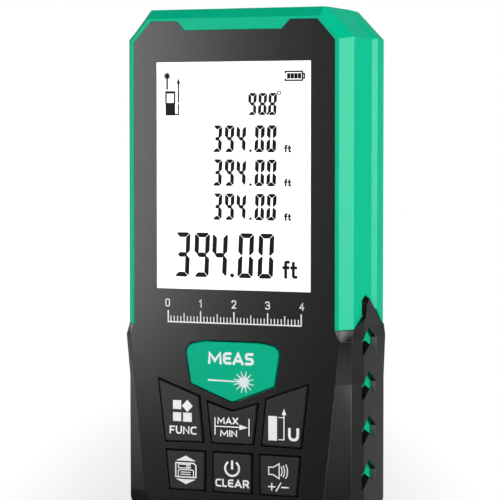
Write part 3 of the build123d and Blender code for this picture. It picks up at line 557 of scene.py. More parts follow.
# ---------------------------------------------------------------- plain stroke alphabet
SOFT, SHARP = 0.28, 0.0
GLYPHS = {   # width for a height of one, rounding of the corners, strokes in a unit box
    "M": (1.22, SHARP, [[(0, 0), (0.04, 1), (0.5, 0.22), (0.96, 1), (1, 0)]]),
    "E": (0.74, SOFT, [[(1, 1), (0, 1), (0, 0), (1, 0)], [(0, 0.5), (0.9, 0.5)]]),
    "A": (0.98, SHARP, [[(0, 0), (0.5, 1), (1, 0)], [(0.16, 0.26), (0.84, 0.26)]]),
    "S": (0.78, SOFT, [[(0.95, 1), (0, 1), (0, 0.5), (1, 0.5), (1, 0), (0.03, 0)]]),
    "F": (0.70, SHARP, [[(1, 1), (0, 1), (0, 0)], [(0, 0.47), (0.85, 0.47)]]),
    "U": (0.84, 0.5, [[(0, 1), (0, 0), (1, 0), (1, 1)]]),
    "N": (0.88, SHARP, [[(0, 0), (0, 1), (1, 0), (1, 1)]]),
    "C": (0.78, 0.4, [[(1, 1), (0, 1), (0, 0), (1, 0)]]),
    "X": (0.92, SHARP, [[(0, 0), (1, 1)], [(0, 1), (1, 0)]]),
    "I": (0.18, SHARP, [[(0.5, 0), (0.5, 1)]]),
    "L": (0.62, SHARP, [[(0, 1), (0, 0), (1, 0)]]),
    "R": (0.82, SOFT, [
        [(0, 0), (0, 1)], [(0, 1), (1, 1), (1, 0.42), (0, 0.42)], [(0.55, 0.42), (1, 0)],
    ]),
    "f": (0.52, 0.4, [[(1, 1), (0.42, 1), (0.42, 0)], [(0, 0.62), (0.95, 0.62)]]),
    "t": (0.50, 0.3, [[(0.36, 0.92), (0.36, 0), (1, 0)], [(0, 0.62), (0.95, 0.62)]]),
    "0": (0.62, 0.45, [[(0.5, 1), (1, 1), (1, 0), (0, 0), (0, 1), (0.5, 1)]]),
    "1": (0.34, SHARP, [[(0, 0.78), (0.8, 1), (0.8, 0)]]),
    "2": (0.60, SOFT, [[(0, 0.8), (0, 1), (1, 1), (1, 0.56), (0, 0.02)], [(0, 0), (1, 0)]]),
    "3": (0.60, 0.3, [
        [(0, 0.84), (0, 1), (0.92, 1), (0.92, 0.52), (0.4, 0.52)],
        [(0.4, 0.52), (1, 0.52), (1, 0), (0, 0), (0, 0.16)],
    ]),
    "4": (0.68, SHARP, [[(0.75, 0), (0.75, 1), (0, 0.28), (1, 0.28)]]),
}


def write(pen, text, left, right, low, high, weight, gap=0.13):
    """Draws a caption that fills the box between left and right, low and high."""
    widths = np.array([GLYPHS[letter][0] for letter in text])
    scale = (right - left) / (widths.sum() + gap * (len(text) - 1))
    starts = left + scale * (np.cumsum(widths) - widths + gap * np.arange(len(text)))
    for letter, start, width in zip(text, starts, widths * scale):
        corner = np.array([start + weight / 2, low + weight / 2])
        size = np.array([max(width - weight, 0.01), high - low - weight])
        rounding, paths = GLYPHS[letter][1:]
        for path in paths:
            line = softened(corner + np.array(path) * size, rounding * (high - low))
            pen.stroke(line, weight, square=True)


# ---------------------------------------------------------------- seven-segment figures
LIT = {"0": "abcdef", "3": "abcdg", "4": "bcfg", "8": "abcdefg", "9": "abcdfg"}   # lit segments
TIP = 0.25                # how far a segment's tip lies off its middle, in thicknesses
REACH = 0.07              # how far a tip stops short at a corner or a crossing, likewise
CORNER = (TIP, REACH - TIP)       # offset and stop of a tip where two segments meet
CROSSING = (-TIP, REACH)          # of a tip beside the middle segment
MIDDLE = (0.0, REACH + 0.1)       # of the middle segment's own tips


def bar(start, end, thick, tips):
    """Upper and lower edge of a segment with two pointed ends.

    Each end is (offset, stop): its tip lies offset thicknesses above the middle line and
    stop thicknesses short of the corner, and both edges run from it at 45 degrees.
    """
    start, end = np.array(start, float), np.array(end, float)
    along = (end - start) / np.linalg.norm(end - start)
    across = np.array([-along[1], along[0]])
    edges = []
    for side in (0.5, -0.5):
        points = []
        for place, way, (offset, stop) in ((start, along, tips[0]), (end, -along, tips[1])):
            tip = place + thick * (stop * way + offset * across)
            shoulder = place + thick * ((stop + abs(side - offset)) * way + side * across)
            points.append([tip, shoulder])
        edges.append(np.array([*points[0], *points[1][::-1]]))
    return edges


def figure(pen, sign, right, width, low, high, thick, slant):
    """Draws the lit segments of one figure, leaning by the slant about its foot."""
    lean = math.tan(slant)
    right -= lean * (high - low)
    x = (right - width + thick / 2, right - thick / 2)
    z = (low + thick / 2, (low + high) / 2, high - thick / 2)
    ends = {              # drawn clockwise, so the outside is always on the upper side
        "a": ((x[0], z[2]), (x[1], z[2]), (CORNER, CORNER)),
        "b": ((x[1], z[2]), (x[1], z[1]), (CORNER, CROSSING)),
        "c": ((x[1], z[1]), (x[1], z[0]), (CROSSING, CORNER)),
        "d": ((x[1], z[0]), (x[0], z[0]), (CORNER, CORNER)),
        "e": ((x[0], z[0]), (x[0], z[1]), (CORNER, CROSSING)),
        "f": ((x[0], z[1]), (x[0], z[2]), (CROSSING, CORNER)),
        "g": ((x[0], z[1]), (x[1], z[1]), (MIDDLE, MIDDLE)),
    }
    for name in LIT[sign]:
        start, end, tips = ends[name]
        pen.band(*(
            np.column_stack([edge[:, 0] + lean * (edge[:, 1] - low), edge[:, 1]])
            for edge in bar(start, end, thick, tips)
        ))


def figures(pen, signs, rights, *shape):
    """Draws a row of figures, each with its own right edge."""
    for sign, right in zip(signs, rights):
        figure(pen, sign, right, *shape)


# ---------------------------------------------------------------- operators
def settings():
    """The colours, prints and studio settings of the scene."""
    scene = bpy.context.scene
    return scene.meter_colours, scene.meter_prints, scene.meter_studio


def paint(material, *names):
    """Gives carried-over frame nodes a material."""
    for name in names:
        mesh = NODES[name].data
        mesh.materials.clear()
        mesh.materials.append(material)


class METER_OT_mouldings(bpy.types.Operator):
    """Finish the shells, the boot, the face plate and the keys"""

    bl_idname = "meter.mouldings"
    bl_label = "Mouldings"

    def execute(self, context):
        colours = settings()[0]
        front, rear = (
            moulding(name, colours.shell, roughness=0.4, edge=0.00025)
            for name in ("front_shell_plastic", "rear_shell_plastic")
        )
        for shell in (front, rear):
            polished_slopes(shell, face=0.03, slope=0.1, start=0.3, end=0.42)
        # Painted shade on the shell behind the keys, where their gaps show it.
        dark_web(front, colours.web)
        paint(front, "front_housing")
        paint(rear, "rear_housing", "battery_door")
        boot = moulding("boot_rubber", colours.boot, roughness=0.26, edge=0.0003)
        polished_slopes(boot, face=0.14, slope=0.8, start=0.44, end=0.5, heights=BEVEL_GLOSS)
        # Painted sheen on the boot's sides and painted light on the walls of its side windows.
        greyed_flanks(boot, colours)
        paint(boot, "grip_boot")
        plate = moulding(
            "plate_satin", colours.plate, roughness=0.245, edge=0.0001, wear=0.012,
            Specular_IOR_Level=0.15,
        )
        paint(plate, "face_plate", "end_bezel")
        meas = moulding(
            "meas_plastic", colours.meas, roughness=0.5, edge=0.00015, Specular_IOR_Level=0.02
        )
        paint(meas, "meas_key")
        dark = moulding(
            "key_plastic", colours.keys, roughness=0.4, edge=0.00015, Specular_IOR_Level=0.12
        )
        paint(dark, *(key for key in KEY_PRINTS if key != "meas_key"))
        return {"FINISHED"}


MOULDED_INSIDE = (        # material, colour, roughness, radius of its edges in metres, nodes
    ("chip_epoxy", (0.02, 0.02, 0.022), 0.5, 0.00008, "board_components", "buzzer"),
    ("seal_foam", (0.015, 0.015, 0.015), 0.9, 0.0, "display_gasket"),
    ("holder_plastic", (0.75, 0.75, 0.72), 0.55, 0.0001, "lcd_frame"),
    ("key_silicone", (0.18, 0.19, 0.20), 0.7, 0.0001, "keypad_mat", "lcd_connector"),
    ("carrier_plastic", (0.015, 0.015, 0.015), 0.75, 0.0001, "optics_chassis"),
)
METAL_INSIDE = (          # material, colour, roughness, nodes
    ("zinc_steel", (0.55, 0.56, 0.58), 0.35, "board_screws", "optics_screws", "strap_pin"),
    ("dome_steel", (0.62, 0.61, 0.58), 0.25, "dome_switches", "receiver_sensor"),
    ("contact_nickel", (0.70, 0.68, 0.62), 0.28, "battery_contacts", "battery_springs"),
)


class METER_OT_inner_parts(bpy.types.Operator):
    """Finish the board, the optics and the other parts inside the shells"""

    bl_idname = "meter.inner_parts"
    bl_label = "Inner parts"

    def execute(self, context):
        paint(circuit_board("board_mask"), "main_board", "receiver_board")
        paint(lit_panel("panel_white", glow=0.0), "lcd_glass", "lcd_backlight")
        for name, base, roughness, edge, *painted in MOULDED_INSIDE:
            paint(moulding(name, base, roughness, edge), *painted)
        for name, base, roughness, *painted in METAL_INSIDE:
            paint(metal(name, base, roughness), *painted)
        brass = metal("barrel_brass", (0.72, 0.52, 0.24), 0.3, stretch=(1.0, 1.0, 12.0))
        paint(brass, "laser_barrel", "laser_diode")
        lens = glass("lens_glass", (0.90, 0.95, 0.99), (0.62, 0.42, 0.80))
        paint(lens, "receiver_lens", "collimator_lens")
        paint(glass("emitter_glass", (0.94, 0.97, 0.97), (0.75, 0.85, 0.80)), "emitter_window")
        return {"FINISHED"}


class METER_OT_display(bpy.types.Operator):
    """Make the display's lit face and its figures and signs"""

    bl_idname = "meter.display"
    bl_label = "Display"

    def execute(self, context):
        colours, prints, _ = settings()
        face = piece(
            "display_face", [display_face()], "housing",
            lit_panel("display_white", prints.glow),
        )
        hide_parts("display_window")
        dark = printed("segment_dark", colours.figures, 0.4, Specular_IOR_Level=0.02)
        figures_pen, signs_pen = (Pen(PLATE_FRONT, prints.relief / MM) for _ in range(2))
        display_figures(figures_pen, prints.slant)
        display_signs(signs_pen)
        piece("display_figures", figures_pen.parts, "housing", dark)
        piece("display_signs", signs_pen.parts, "housing", dark)
        return {"FINISHED"}


def display_face():
    """The pane: rings of a rectangle, from its back edge over a small rounded front edge."""
    (left, right), (low, high) = node_range("display_window", 0), node_range("display_window", 2)
    lip = 0.55                # the window's hidden flange, which the pane has not
    left, right, low, high = left + lip, right - lip, low + lip, high - lip
    back, rounding = 0.45, 0.08
    inner = 0.3 * rounding
    rings = []
    for inset, depth in ((0.0, back), (0.0, rounding), (inner, inner), (rounding, 0.0)):
        rings.append([
            (x, PLATE_FRONT + depth, z)
            for x, z in (
                (left + inset, low + inset), (right - inset, low + inset),
                (right - inset, high - inset), (left + inset, high - inset),
            )
        ])
    return skin(np.array(rings))


# Rows of figures: right edge of each figure, width of a figure, foot, head and thickness.
TILT_ROW = ((5.72, 8.14, 10.48), 1.95, 90.69, 95.52, 0.7)
LARGE_ROW = ((-10.1, -5.39, -1.1, 5.13, 9.89), 3.62, 54.9, 64.75, 1.04)
SMALL_ROWS = [
    ((-2.44, 0.46, 3.24, 7.62, 10.42), 2.24, low, high, 0.84)
    for low, high in ((82.57, 88.45), (75.15, 80.98), (67.65, 73.48))
]
READING = "39400"


def display_figures(pen, slant):
    """The tilt angle, three small readings and the large one, with points and units."""
    figures(pen, "988", *TILT_ROW, slant)
    pen.dot((8.24, 90.99), 0.26)
    pen.ring((10.92, 95.49), 0.38, 0.22)
    for row in SMALL_ROWS:
        low = row[2]
        figures(pen, READING, *row, slant)
        pen.dot((4.23, low + 0.33), 0.3)
        write(pen, "ft", 12.15, 13.75, low, low + 1.65, 0.38, 0.06)
    figures(pen, READING, *LARGE_ROW, slant)
    pen.dot((-0.14, 55.42), 0.46)
    write(pen, "ft", 11.77, 15.25, 55.03, 58.97, 0.66, 0.05)


def display_signs(pen):
    """The battery sign on the right and the laser and reference signs on the left."""
    line = 0.34
    pen.stroke([
        (12.4, 98.62), (12.4, 98.2), (16.38, 98.2), (16.38, 100.12), (12.4, 100.12), (12.4, 99.7)
    ], line)
    pen.stroke([(16.5, 98.68), (16.83, 98.68), (16.83, 99.6), (16.5, 99.6)], line)
    for k in range(4):
        left = 12.8 + 0.84 * k
        pen.box(left, left + 0.76, 98.58, 99.74)
    star = np.array([-15.74, 99.42])
    pen.dot(star, 0.42)
    for angle in range(0, 180, 45):
        reach = 0.86 * np.array([math.cos(math.radians(angle)), math.sin(math.radians(angle))])
        pen.stroke([star - reach, star + reach], 0.33)
    pen.stroke([(-15.74, 99.2), (-15.74, 96.36)], 0.42)
    pen.stroke([(-16.02, 93.2), (-16.02, 95.84), (-13.92, 95.84), (-13.92, 93.2)], 0.38)
    pen.box(-16.14, -13.8, 95.5, 96.08)
    pen.box(-16.14, -13.8, 90.66, 93.47)
    pen.stroke([(-13.0, 93.45), (-13.0, 98.1)], 0.38)
    pen.stroke([(-13.8, 90.86), (-13.0, 90.86), (-13.0, 93.2)], 0.36)
    pen.fan([(-13.46, 97.7), (-12.54, 97.7), (-13.0, 98.95)], (-13.0, 98.1))


SCALE_X = (-15.71, 16.29)
SCALE_Z = 44.74
SCALE_NUMBERS = (48.1, 49.9)          # foot and head of the numbers over the scale
NUMBER_WEIGHT = 0.24
ONE_HALF, NUMBER_HALF = 0.32, 0.55    # half the width of a 1 and of the other numbers
LONG_HALF, SHORT_HALF = 0.14, 0.11    # half the thickness of the long ticks and of the others
DIVISIONS = 40
TICKS = {10: 2.56, 5: 2.0, 1: 1.35}   # heights of the ticks that fall on every so many


class METER_OT_scale(bpy.types.Operator):
    """Print the scale and its numbers on the face plate"""

    bl_idname = "meter.scale"
    bl_label = "Scale"

    def execute(self, context):
        colours, prints, _ = settings()
        pen = Pen(PLATE_FRONT, prints.relief / MM)
        pitch = (SCALE_X[1] - SCALE_X[0]) / DIVISIONS
        pen.box(*SCALE_X, SCALE_Z - LONG_HALF, SCALE_Z + LONG_HALF)
        for count in range(DIVISIONS + 1):
            height = next(tall for every, tall in TICKS.items() if count % every == 0)
            half = LONG_HALF if count % 10 == 0 else SHORT_HALF
            x = SCALE_X[0] + pitch * count
            x = min(max(x, SCALE_X[0] + half), SCALE_X[1] - half)
            pen.box(x - half, x + half, SCALE_Z, SCALE_Z + height)
        for number in range(DIVISIONS // 10 + 1):
            x = SCALE_X[0] + 10 * pitch * number
            half = ONE_HALF if number == 1 else NUMBER_HALF
            write(pen, str(number), x - half, x + half, *SCALE_NUMBERS, NUMBER_WEIGHT)
        ink = printed("scale_ink", colours.ink)
        piece("scale_print", pen.parts, "housing", ink)
        return {"FINISHED"}


# ---------------------------------------------------------------- key prints
def meas_print(pen):
    """The measuring key: its caption, and a beam that ends in a burst of rays."""
    write(pen, "MEAS", -5.72, 5.22, 35.7, 38.43, 0.6, 0.1)
    pen.band([(-5.72, 32.3), (2.0, 32.14)], [(-5.72, 31.92), (2.0, 31.86)])
    centre = np.array([2.85, 31.96])
    points = np.arange(48)
    turns, reach = np.radians(points * 7.5), np.where(points % 2, 1.0, 1.42)
    pen.fan(centre + np.column_stack([np.cos(turns), np.sin(turns)]) * reach[:, None], centre)
    (near, near_half), (far, far_half) = (1.0, 0.16), (2.45, 0.07)    # both ends of a ray
    for angle in np.radians(np.arange(0, 360, 30) + 15.0):
        along = np.array([math.cos(angle), math.sin(angle)])
        across = np.array([-along[1], along[0]])
        foot, tip = centre + near * along, centre + far * along
        pen.band(*(
            [foot + way * near_half * across, tip + way * far_half * across] for way in (1, -1)
        ))


def func_print(pen):
    """The function key: three squares, a diamond and the caption."""
    pen.box(-14.27, -12.28, 25.24, 27.25)
    pen.box(-14.28, -12.28, 22.55, 24.55)
    pen.box(-11.82, -9.7, 22.5, 24.54)
    pen.fan([(-10.79, 24.68), (-9.47, 26.05), (-10.79, 27.42), (-12.1, 26.05)], (-10.79, 26.05))
    write(pen, "FUNC", -15.12, -8.59, 19.7, 21.5, 0.36)


def max_min_print(pen):
    """The extremes key: an arrow between two bars, with a caption above and below it."""
    left, right, level = -4.09, 4.04, 21.87
    for x in (left, right):
        pen.stroke([(x, 20.0), (x, 23.85)], 0.27)
    pen.stroke([(left, level), (2.0, level)], 0.24)
    pen.fan([(1.75, 21.25), (3.78, level), (1.75, 22.49)], (2.3, level))
    write(pen, "MAX", -3.54, 1.46, 22.45, 24.0, 0.32)
    write(pen, "MIN", -2.87, 1.22, 19.67, 21.13, 0.32)


def reference_print(pen):
    """The reference key: a meter, the edge that it measures from, and the unit letter."""
    pen.box(8.61, 10.66, 19.36, 24.77)
    pen.stroke([(11.01, 24.51), (12.3, 24.51)], 0.2)
    pen.stroke([(11.01, 19.62), (12.2, 19.62)], 0.2)
    pen.stroke([(12.3, 19.52), (12.3, 25.3)], 0.26)
    pen.fan([(11.75, 25.1), (12.85, 25.1), (12.3, 26.45)], (12.3, 25.5))
    write(pen, "U", 13.27, 15.84, 19.41, 22.33, 0.62)


def save_print(pen):
    """The memory key: a disk between an upward and a downward arrowhead."""
    middle = -11.17
    pen.fan([(-13.59, 13.72), (-8.75, 13.72), (middle, 14.9)], (middle, 14.1))
    pen.fan([(-13.59, 9.62), (middle, 8.48), (-8.75, 9.62)], (middle, 9.25))
    pen.stroke([
        (-13.62, 10.08), (-13.62, 13.22), (-9.2, 13.22), (-8.72, 12.75), (-8.72, 10.08)
    ], 0.3, closed=True)
    pen.stroke([
        (-12.95, 12.12), (-12.95, 12.93), (-10.1, 12.93), (-10.1, 12.12)
    ], 0.22, closed=True)
    pen.ring((-10.72, 12.52), 0.26, 0.2)
    pen.stroke([
        (-12.98, 10.1), (-12.98, 11.5), (-12.75, 11.73), (-9.55, 11.73), (-9.3, 11.5), (-9.3, 10.1)
    ], 0.24)
    pen.box(-12.45, -9.95, 11.06, 11.28)
    pen.box(-12.45, -9.95, 10.56, 10.78)


def clear_print(pen):
    """The power key: an open ring with a bar, and the caption."""
    pen.stroke(arc((0.0, 12.64), 1.66, 125, 415, 40), 0.48)
    pen.box(-0.25, 0.25, 12.42, 14.42)
    write(pen, "CLEAR", -4.01, 4.04, 8.42, 10.2, 0.38)


def sound_print(pen):
    """The sound key: a loudspeaker with three waves, and plus and minus signs."""
    level = 12.66
    pen.stroke([
        (8.71, 11.85), (8.71, 13.45), (9.75, 13.45), (11.18, 14.3), (11.18, 11.0), (9.75, 11.85)
    ], 0.26, closed=True)
    pen.stroke([(9.44, 8.3), (9.44, 9.98)], 0.28)
    pen.stroke([(8.58, 9.14), (10.3, 9.14)], 0.28)
    pen.stroke([(10.42, 8.15), (11.62, 10.14)], 0.28)
    pen.stroke([(11.68, 9.12), (13.45, 9.12)], 0.28)
    for x, half in ((11.87, 1.05), (12.45, 1.3), (13.15, 1.55)):
        radius = 1.9 * half
        opening = math.degrees(math.asin(half / radius))
        pen.stroke(arc((x - radius, level), radius, -opening, opening, 14), 0.26)


KEY_PRINTS = {
    "meas_key": meas_print, "func_key": func_print, "max_min_key": max_min_print,
    "reference_key": reference_print, "save_key": save_print, "clear_key": clear_print,
    "sound_key": sound_print,
}


class METER_OT_key_prints(bpy.types.Operator):
    """Print the captions and signs on the keys"""

    bl_idname = "meter.key_prints"
    bl_label = "Key prints"

    def execute(self, context):
        colours, prints, _ = settings()
        key_ink = printed("key_ink", colours.key_ink)
        meas_ink = printed("meas_ink", colours.meas_ink)
        for key, draw in KEY_PRINTS.items():
            front, slot, ink = KEY_FRONT, "key_black", key_ink
            if key == "meas_key":
                front, slot, ink = MEAS_FRONT, "key_green", meas_ink
            pen = Pen(front, prints.relief / MM)
            draw(pen)
            piece(key + "_print", pen.parts, key, ink)
        return {"FINISHED"}


# ---------------------------------------------------------------- fittings
AROUND = 64


def revolved(profile, centre, upright=True, ripple=None):
    """Rings of a profile of radius and height, carried round an axis through the centre.

    P(i, a) = centre + radius_i (cos a, sin a) across the axis + height_i along it. ripple
    adds to each radius a function of the profile's index and the angle.
    """
    radius, height = np.array(profile, float).T
    angle = np.linspace(0, 2 * math.pi, AROUND, endpoint=False)
    reach = np.repeat(radius[:, None], AROUND, axis=1)
    if ripple is not None:
        reach = reach + ripple(height[:, None], angle[None, :])
    along = np.repeat(height[:, None], AROUND, axis=1)
    first, second = reach * np.cos(angle), reach * np.sin(angle)
    axes = (first, second, along) if upright else (first, along, second)
    return np.stack([c + v for c, v in zip(centre, axes)], axis=-1)


BUSH_PLAY = 0.02          # how much smaller the bush is than its seat
BUSH_FLOOR = 1.1          # thickness of the bush's closed end
BUSH_CHAMFER = 0.2
THREAD_PITCH = 1.27
THREAD_DEPTH = 0.6
THREAD_BORE = 2.55        # radius at the thread's crests
THREAD_STOPS = (0.5, 0.6)     # plain lengths at the mouth and at the closed end
THREAD_RINGS = 90
HAIR = 1e-6               # counts the thread's first and last ring as inside it


class METER_OT_tripod_bush(bpy.types.Operator):
    """Turn the camera bush with its thread"""

    bl_idname = "meter.tripod_bush"
    bl_label = "Camera bush"

    def execute(self, context):
        outer = node_range("tripod_insert", 0)[1] - BUSH_PLAY
        mouth, floor = INSERT_BACK, INSERT_FRONT + BUSH_FLOOR
        depths = np.linspace(mouth - THREAD_STOPS[0], floor + THREAD_STOPS[1], THREAD_RINGS)
        outside = [
            (outer, INSERT_FRONT), (outer, mouth - BUSH_CHAMFER), (outer - BUSH_CHAMFER, mouth),
            (THREAD_BORE + THREAD_DEPTH, mouth),
        ]
        profile = [*outside, *((THREAD_BORE, depth) for depth in depths), (THREAD_BORE, floor)]

        def thread(height, angle):
            """A V groove outwards: twice the distance of height/pitch - turn from an integer."""
            turn = (height / THREAD_PITCH - angle / (2 * math.pi)) % 1.0
            groove = THREAD_DEPTH * (1 - np.abs(2 * turn - 1))
            inside = (height <= depths[0] + HAIR) & (height >= depths[-1] - HAIR)
            return groove * inside * (np.arange(len(profile))[:, None] >= len(outside))

        rings = revolved(profile, (0.0, 0.0, TRIPOD_Z), upright=False, ripple=thread)
        bush = piece(
            "tripod_bush", [skin(rings)], "housing",
            metal("bush_brass", (0.72, 0.53, 0.25), 0.28, (1.0, 14.0, 1.0)),
        )
        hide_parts("tripod_insert")
        return {"FINISHED"}


SCREW_SPOTS = [           # x, z and the depth of the seat: four in the back, two under the boot
    *[(side * 22.2, z, 11.3) for side in (-1, 1) for z in (66.0, 103.0)],
    *[(side * 19.0, 8.5, 10.4) for side in (-1, 1)],
]
SCREW_HEAD = 1.5
HEAD_RADIUS = 1.9
HEAD_MIDDLE = 0.08        # radius of the innermost ring
HEAD_RINGS, HEAD_POINTS = 26, 96
CROWN_FALL = 0.35         # from the head's middle to its rim
CROSS_DEPTH = 0.75
ARM_HALF, ARM_SLOPE = 0.30, 0.12      # half width of the cross's arms, and how far they slope
ARM_END, END_SLOPE = 1.15, 0.25       # the arms' length from the middle, and how far they slope
SHANK_RADIUS, SHANK_POINT = 0.98, 0.5
SHANK_LENGTH, POINT_LENGTH = 15.0, 0.5


def screw_head(x, z, seat):
    """A pan head with a cross, over a polar grid of radius and angle.

    Its height is that of the rounded crown, less the cross's depth, which falls off with the
    distance to the nearer of the two arms and towards the arms' ends.
    """
    radii = np.linspace(HEAD_RADIUS, HEAD_MIDDLE, HEAD_RINGS)
    angle = np.linspace(0, 2 * math.pi, HEAD_POINTS, endpoint=False)
    reach, turn = np.meshgrid(radii, angle, indexing="ij")
    crown = SCREW_HEAD - CROWN_FALL * (reach / HEAD_RADIUS) ** 4
    across, along = reach * np.cos(turn), reach * np.sin(turn)
    arm = np.minimum(np.abs(across), np.abs(along))
    depth = CROSS_DEPTH * np.clip((ARM_HALF - arm) / ARM_SLOPE, 0, 1)
    depth = depth * np.clip((ARM_END - reach) / END_SLOPE, 0, 1)
    top = np.stack([x + across, seat + crown - depth, z + along], axis=-1)
    skirt = np.stack([x + across[:1], np.full((1, HEAD_POINTS), seat), z + along[:1]], axis=-1)
    return skin(np.concatenate([skirt, top]))


class METER_OT_back_screws(bpy.types.Operator):
    """Make the housing screws with crossed heads"""

    bl_idname = "meter.back_screws"
    bl_label = "Back screws"

    def execute(self, context):
        parts = []
        for x, z, seat in SCREW_SPOTS:
            parts.append(screw_head(x, z, seat))
            foot = seat - SHANK_LENGTH
            shank = [(SHANK_RADIUS, seat), (SHANK_RADIUS, foot + POINT_LENGTH), (SHANK_POINT, foot)]
            parts.append(skin(revolved(shank, (x, 0.0, z), upright=False)))
        screws = piece(
            "back_screws", parts, "housing", metal("screw_steel", (0.32, 0.33, 0.35), 0.3)
        )
        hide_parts("housing_screws")
        return {"FINISHED"}


CELL_RADIUS = 5.25
CELL_LENGTH = 44.5
NUB = 0.8
# Profiles of a cell: radius, and distance from the nub's end or from the flat end.
SLEEVE_HEAD = (
    (4.6, NUB), (5.0, NUB), (5.23, NUB + 0.25), (5.23, NUB + 0.7), (5.18, NUB + 1.1),
    (5.23, NUB + 1.5),
)
SLEEVE_FOOT = ((5.23, 0.9), (5.15, 0.3), (4.7, 0.3))
NUB_END = ((4.62, NUB + 0.2), (4.5, NUB + 0.05), (1.9, NUB), (1.85, 0.12), (1.7, 0.0))
FLAT_END = ((4.72, 0.4), (4.66, 0.05), (4.4, 0.0))


class METER_OT_cells(bpy.types.Operator):
    """Make the two cells with their sleeves, crimps and nubs"""

    bl_idname = "meter.cells"
    bl_label = "Cells"

    def execute(self, context):
        low, high = node_range("battery_cells", 2)
        depth = sum(node_range("battery_cells", 1)) / 2
        offset = node_range("battery_cells", 0)[1] - CELL_RADIUS
        sleeves, ends = [], []
        for x, up, nub_end in ((-offset, 1.0, high), (offset, -1.0, low)):
            flat_end = nub_end - up * CELL_LENGTH
            head, nub = (
                [(radius, nub_end - up * away) for radius, away in profile]
                for profile in (SLEEVE_HEAD, NUB_END)
            )
            foot, flat = (
                [(radius, flat_end + up * away) for radius, away in profile]
                for profile in (SLEEVE_FOOT, FLAT_END)
            )
            for made, profile in ((sleeves, head + foot), (ends, nub), (ends, flat)):
                made.append(skin(revolved(profile, (x, depth, 0.0))))
        jacket = moulding("cell_sleeve", (0.05, 0.055, 0.065), 0.3, 0.0, Coat_Weight=0.5)
        sleeve = piece("cell_sleeves", sleeves, "housing", jacket)
        steel = metal("cell_steel", (0.68, 0.68, 0.66), 0.25)
        piece("cell_ends", ends, "housing", steel)
        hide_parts("battery_cells")
        return {"FINISHED"}


# ---------------------------------------------------------------- studio
CAMERA_PLACE = (0.18626, -0.46382, 0.08627)
CAMERA_TURN = (87.038, 0.0, 22.0)
CAMERA_LENS = 159.6
AIM_HEIGHT = 0.06         # the lamps face this height on the meter's axis
# Lamps: strength's setting, azimuth and elevation in degrees, distance, size, and the rays that
# don't see it. Azimuth 0 is in front of the meter and 90 on its right.
LAMPS = {
    "side_lamp": ("side", 100, 0, 0.9, (0.5, 0.3), None),
    "front_lamp": ("front", 10, 0, 0.9, (0.5, 0.3), "visible_glossy"),
    "rim_lamp": ("rim", 108, 5, 0.6, (0.28, 0.4), "visible_diffuse"),
    "front_card": ("card", -40, 9, 0.3, (0.16, 0.2), "visible_diffuse"),
    "top_lamp": ("top", 20, 75, 1.0, (0.9, 0.9), None),
}
# The floor's shadow, in metres, partly real and partly painted: near the meter the camera's plain
# white thins, so the lit and shaded paper with its real shadow shows in part. The middle of this
# painted patch, how much deeper than wide it is, the distances between which the white grows back,
# and the white's share under the meter.
PAINTED_SHADOW_MIDDLE = (-0.0037, -0.0015, 0.0)
PAINTED_SHADOW_STRETCH = (1.0, 5.0, 1.0)
PAINTED_SHADOW_EDGES = (0.031, 0.058)
PAINTED_SHADOW_SHARE = 0.77


def lamp(name, azimuth, elevation, distance, size, strength):
    """A rectangular lamp that faces the meter."""
    light = bpy.data.lights.new(name, "AREA")
    light.shape = "RECTANGLE"
    light.size, light.size_y = size
    light.energy = strength
    made = bpy.data.objects.new(name, light)
    turn, rise = math.radians(azimuth), math.radians(elevation)
    made.location = (
        distance * math.sin(turn) * math.cos(rise),
        -distance * math.cos(turn) * math.cos(rise),
        AIM_HEIGHT + distance * math.sin(rise),
    )
    made.rotation_euler = (math.pi / 2 - rise, 0.0, turn)
    bpy.context.scene.collection.objects.link(made)
    return made


def sweep_material():
    """White paper: bright to the camera and through glass, lit and shaded otherwise, and round the
    meter a painted shadow over the real one.
    """
    white = (0.86, 0.87, 0.865)
    material, tree, shader = finish("paper_white", white, 0.9, Specular_IOR_Level=0.1)
    mottle(tree, shader, white, spread=0.01, scale=6.0)
    path = node(tree, "ShaderNodeLightPath")
    seen = math_node(
        tree, "MAXIMUM", path.outputs["Is Camera Ray"], path.outputs["Is Transmission Ray"]
    )
    place = node(tree, "ShaderNodeTexCoord")
    deep = node(
        tree, "ShaderNodeMapping", {"vector_type": "TEXTURE"}, Vector=place.outputs["Object"],
        Location=PAINTED_SHADOW_MIDDLE, Rotation=(0.0, 0.0, math.radians(CAMERA_TURN[2])),
        Scale=PAINTED_SHADOW_STRETCH,
    )
    away = node(tree, "ShaderNodeVectorMath", {"operation": "LENGTH"})
    tree.links.new(deep.outputs["Vector"], away.inputs[0])
    # Painted shadow: the camera's white thins towards the meter, so the real shading shows there in
    # part.
    fade = ramp(tree, away.outputs["Value"], *PAINTED_SHADOW_EDGES, PAINTED_SHADOW_SHARE, 1.0)
    share = math_node(tree, "MULTIPLY", seen, fade)
    glow = node(tree, "ShaderNodeEmission", Color=(1.0, 1.0, 1.0, 1.0), Strength=1.0)
    blend = node(tree, "ShaderNodeMixShader", Fac=share)
    tree.links.new(shader.outputs[0], blend.inputs[1])
    tree.links.new(glow.outputs[0], blend.inputs[2])
    output = next(n for n in tree.nodes if n.type == "OUTPUT_MATERIAL")
    tree.links.new(blend.outputs[0], output.inputs["Surface"])
    return material


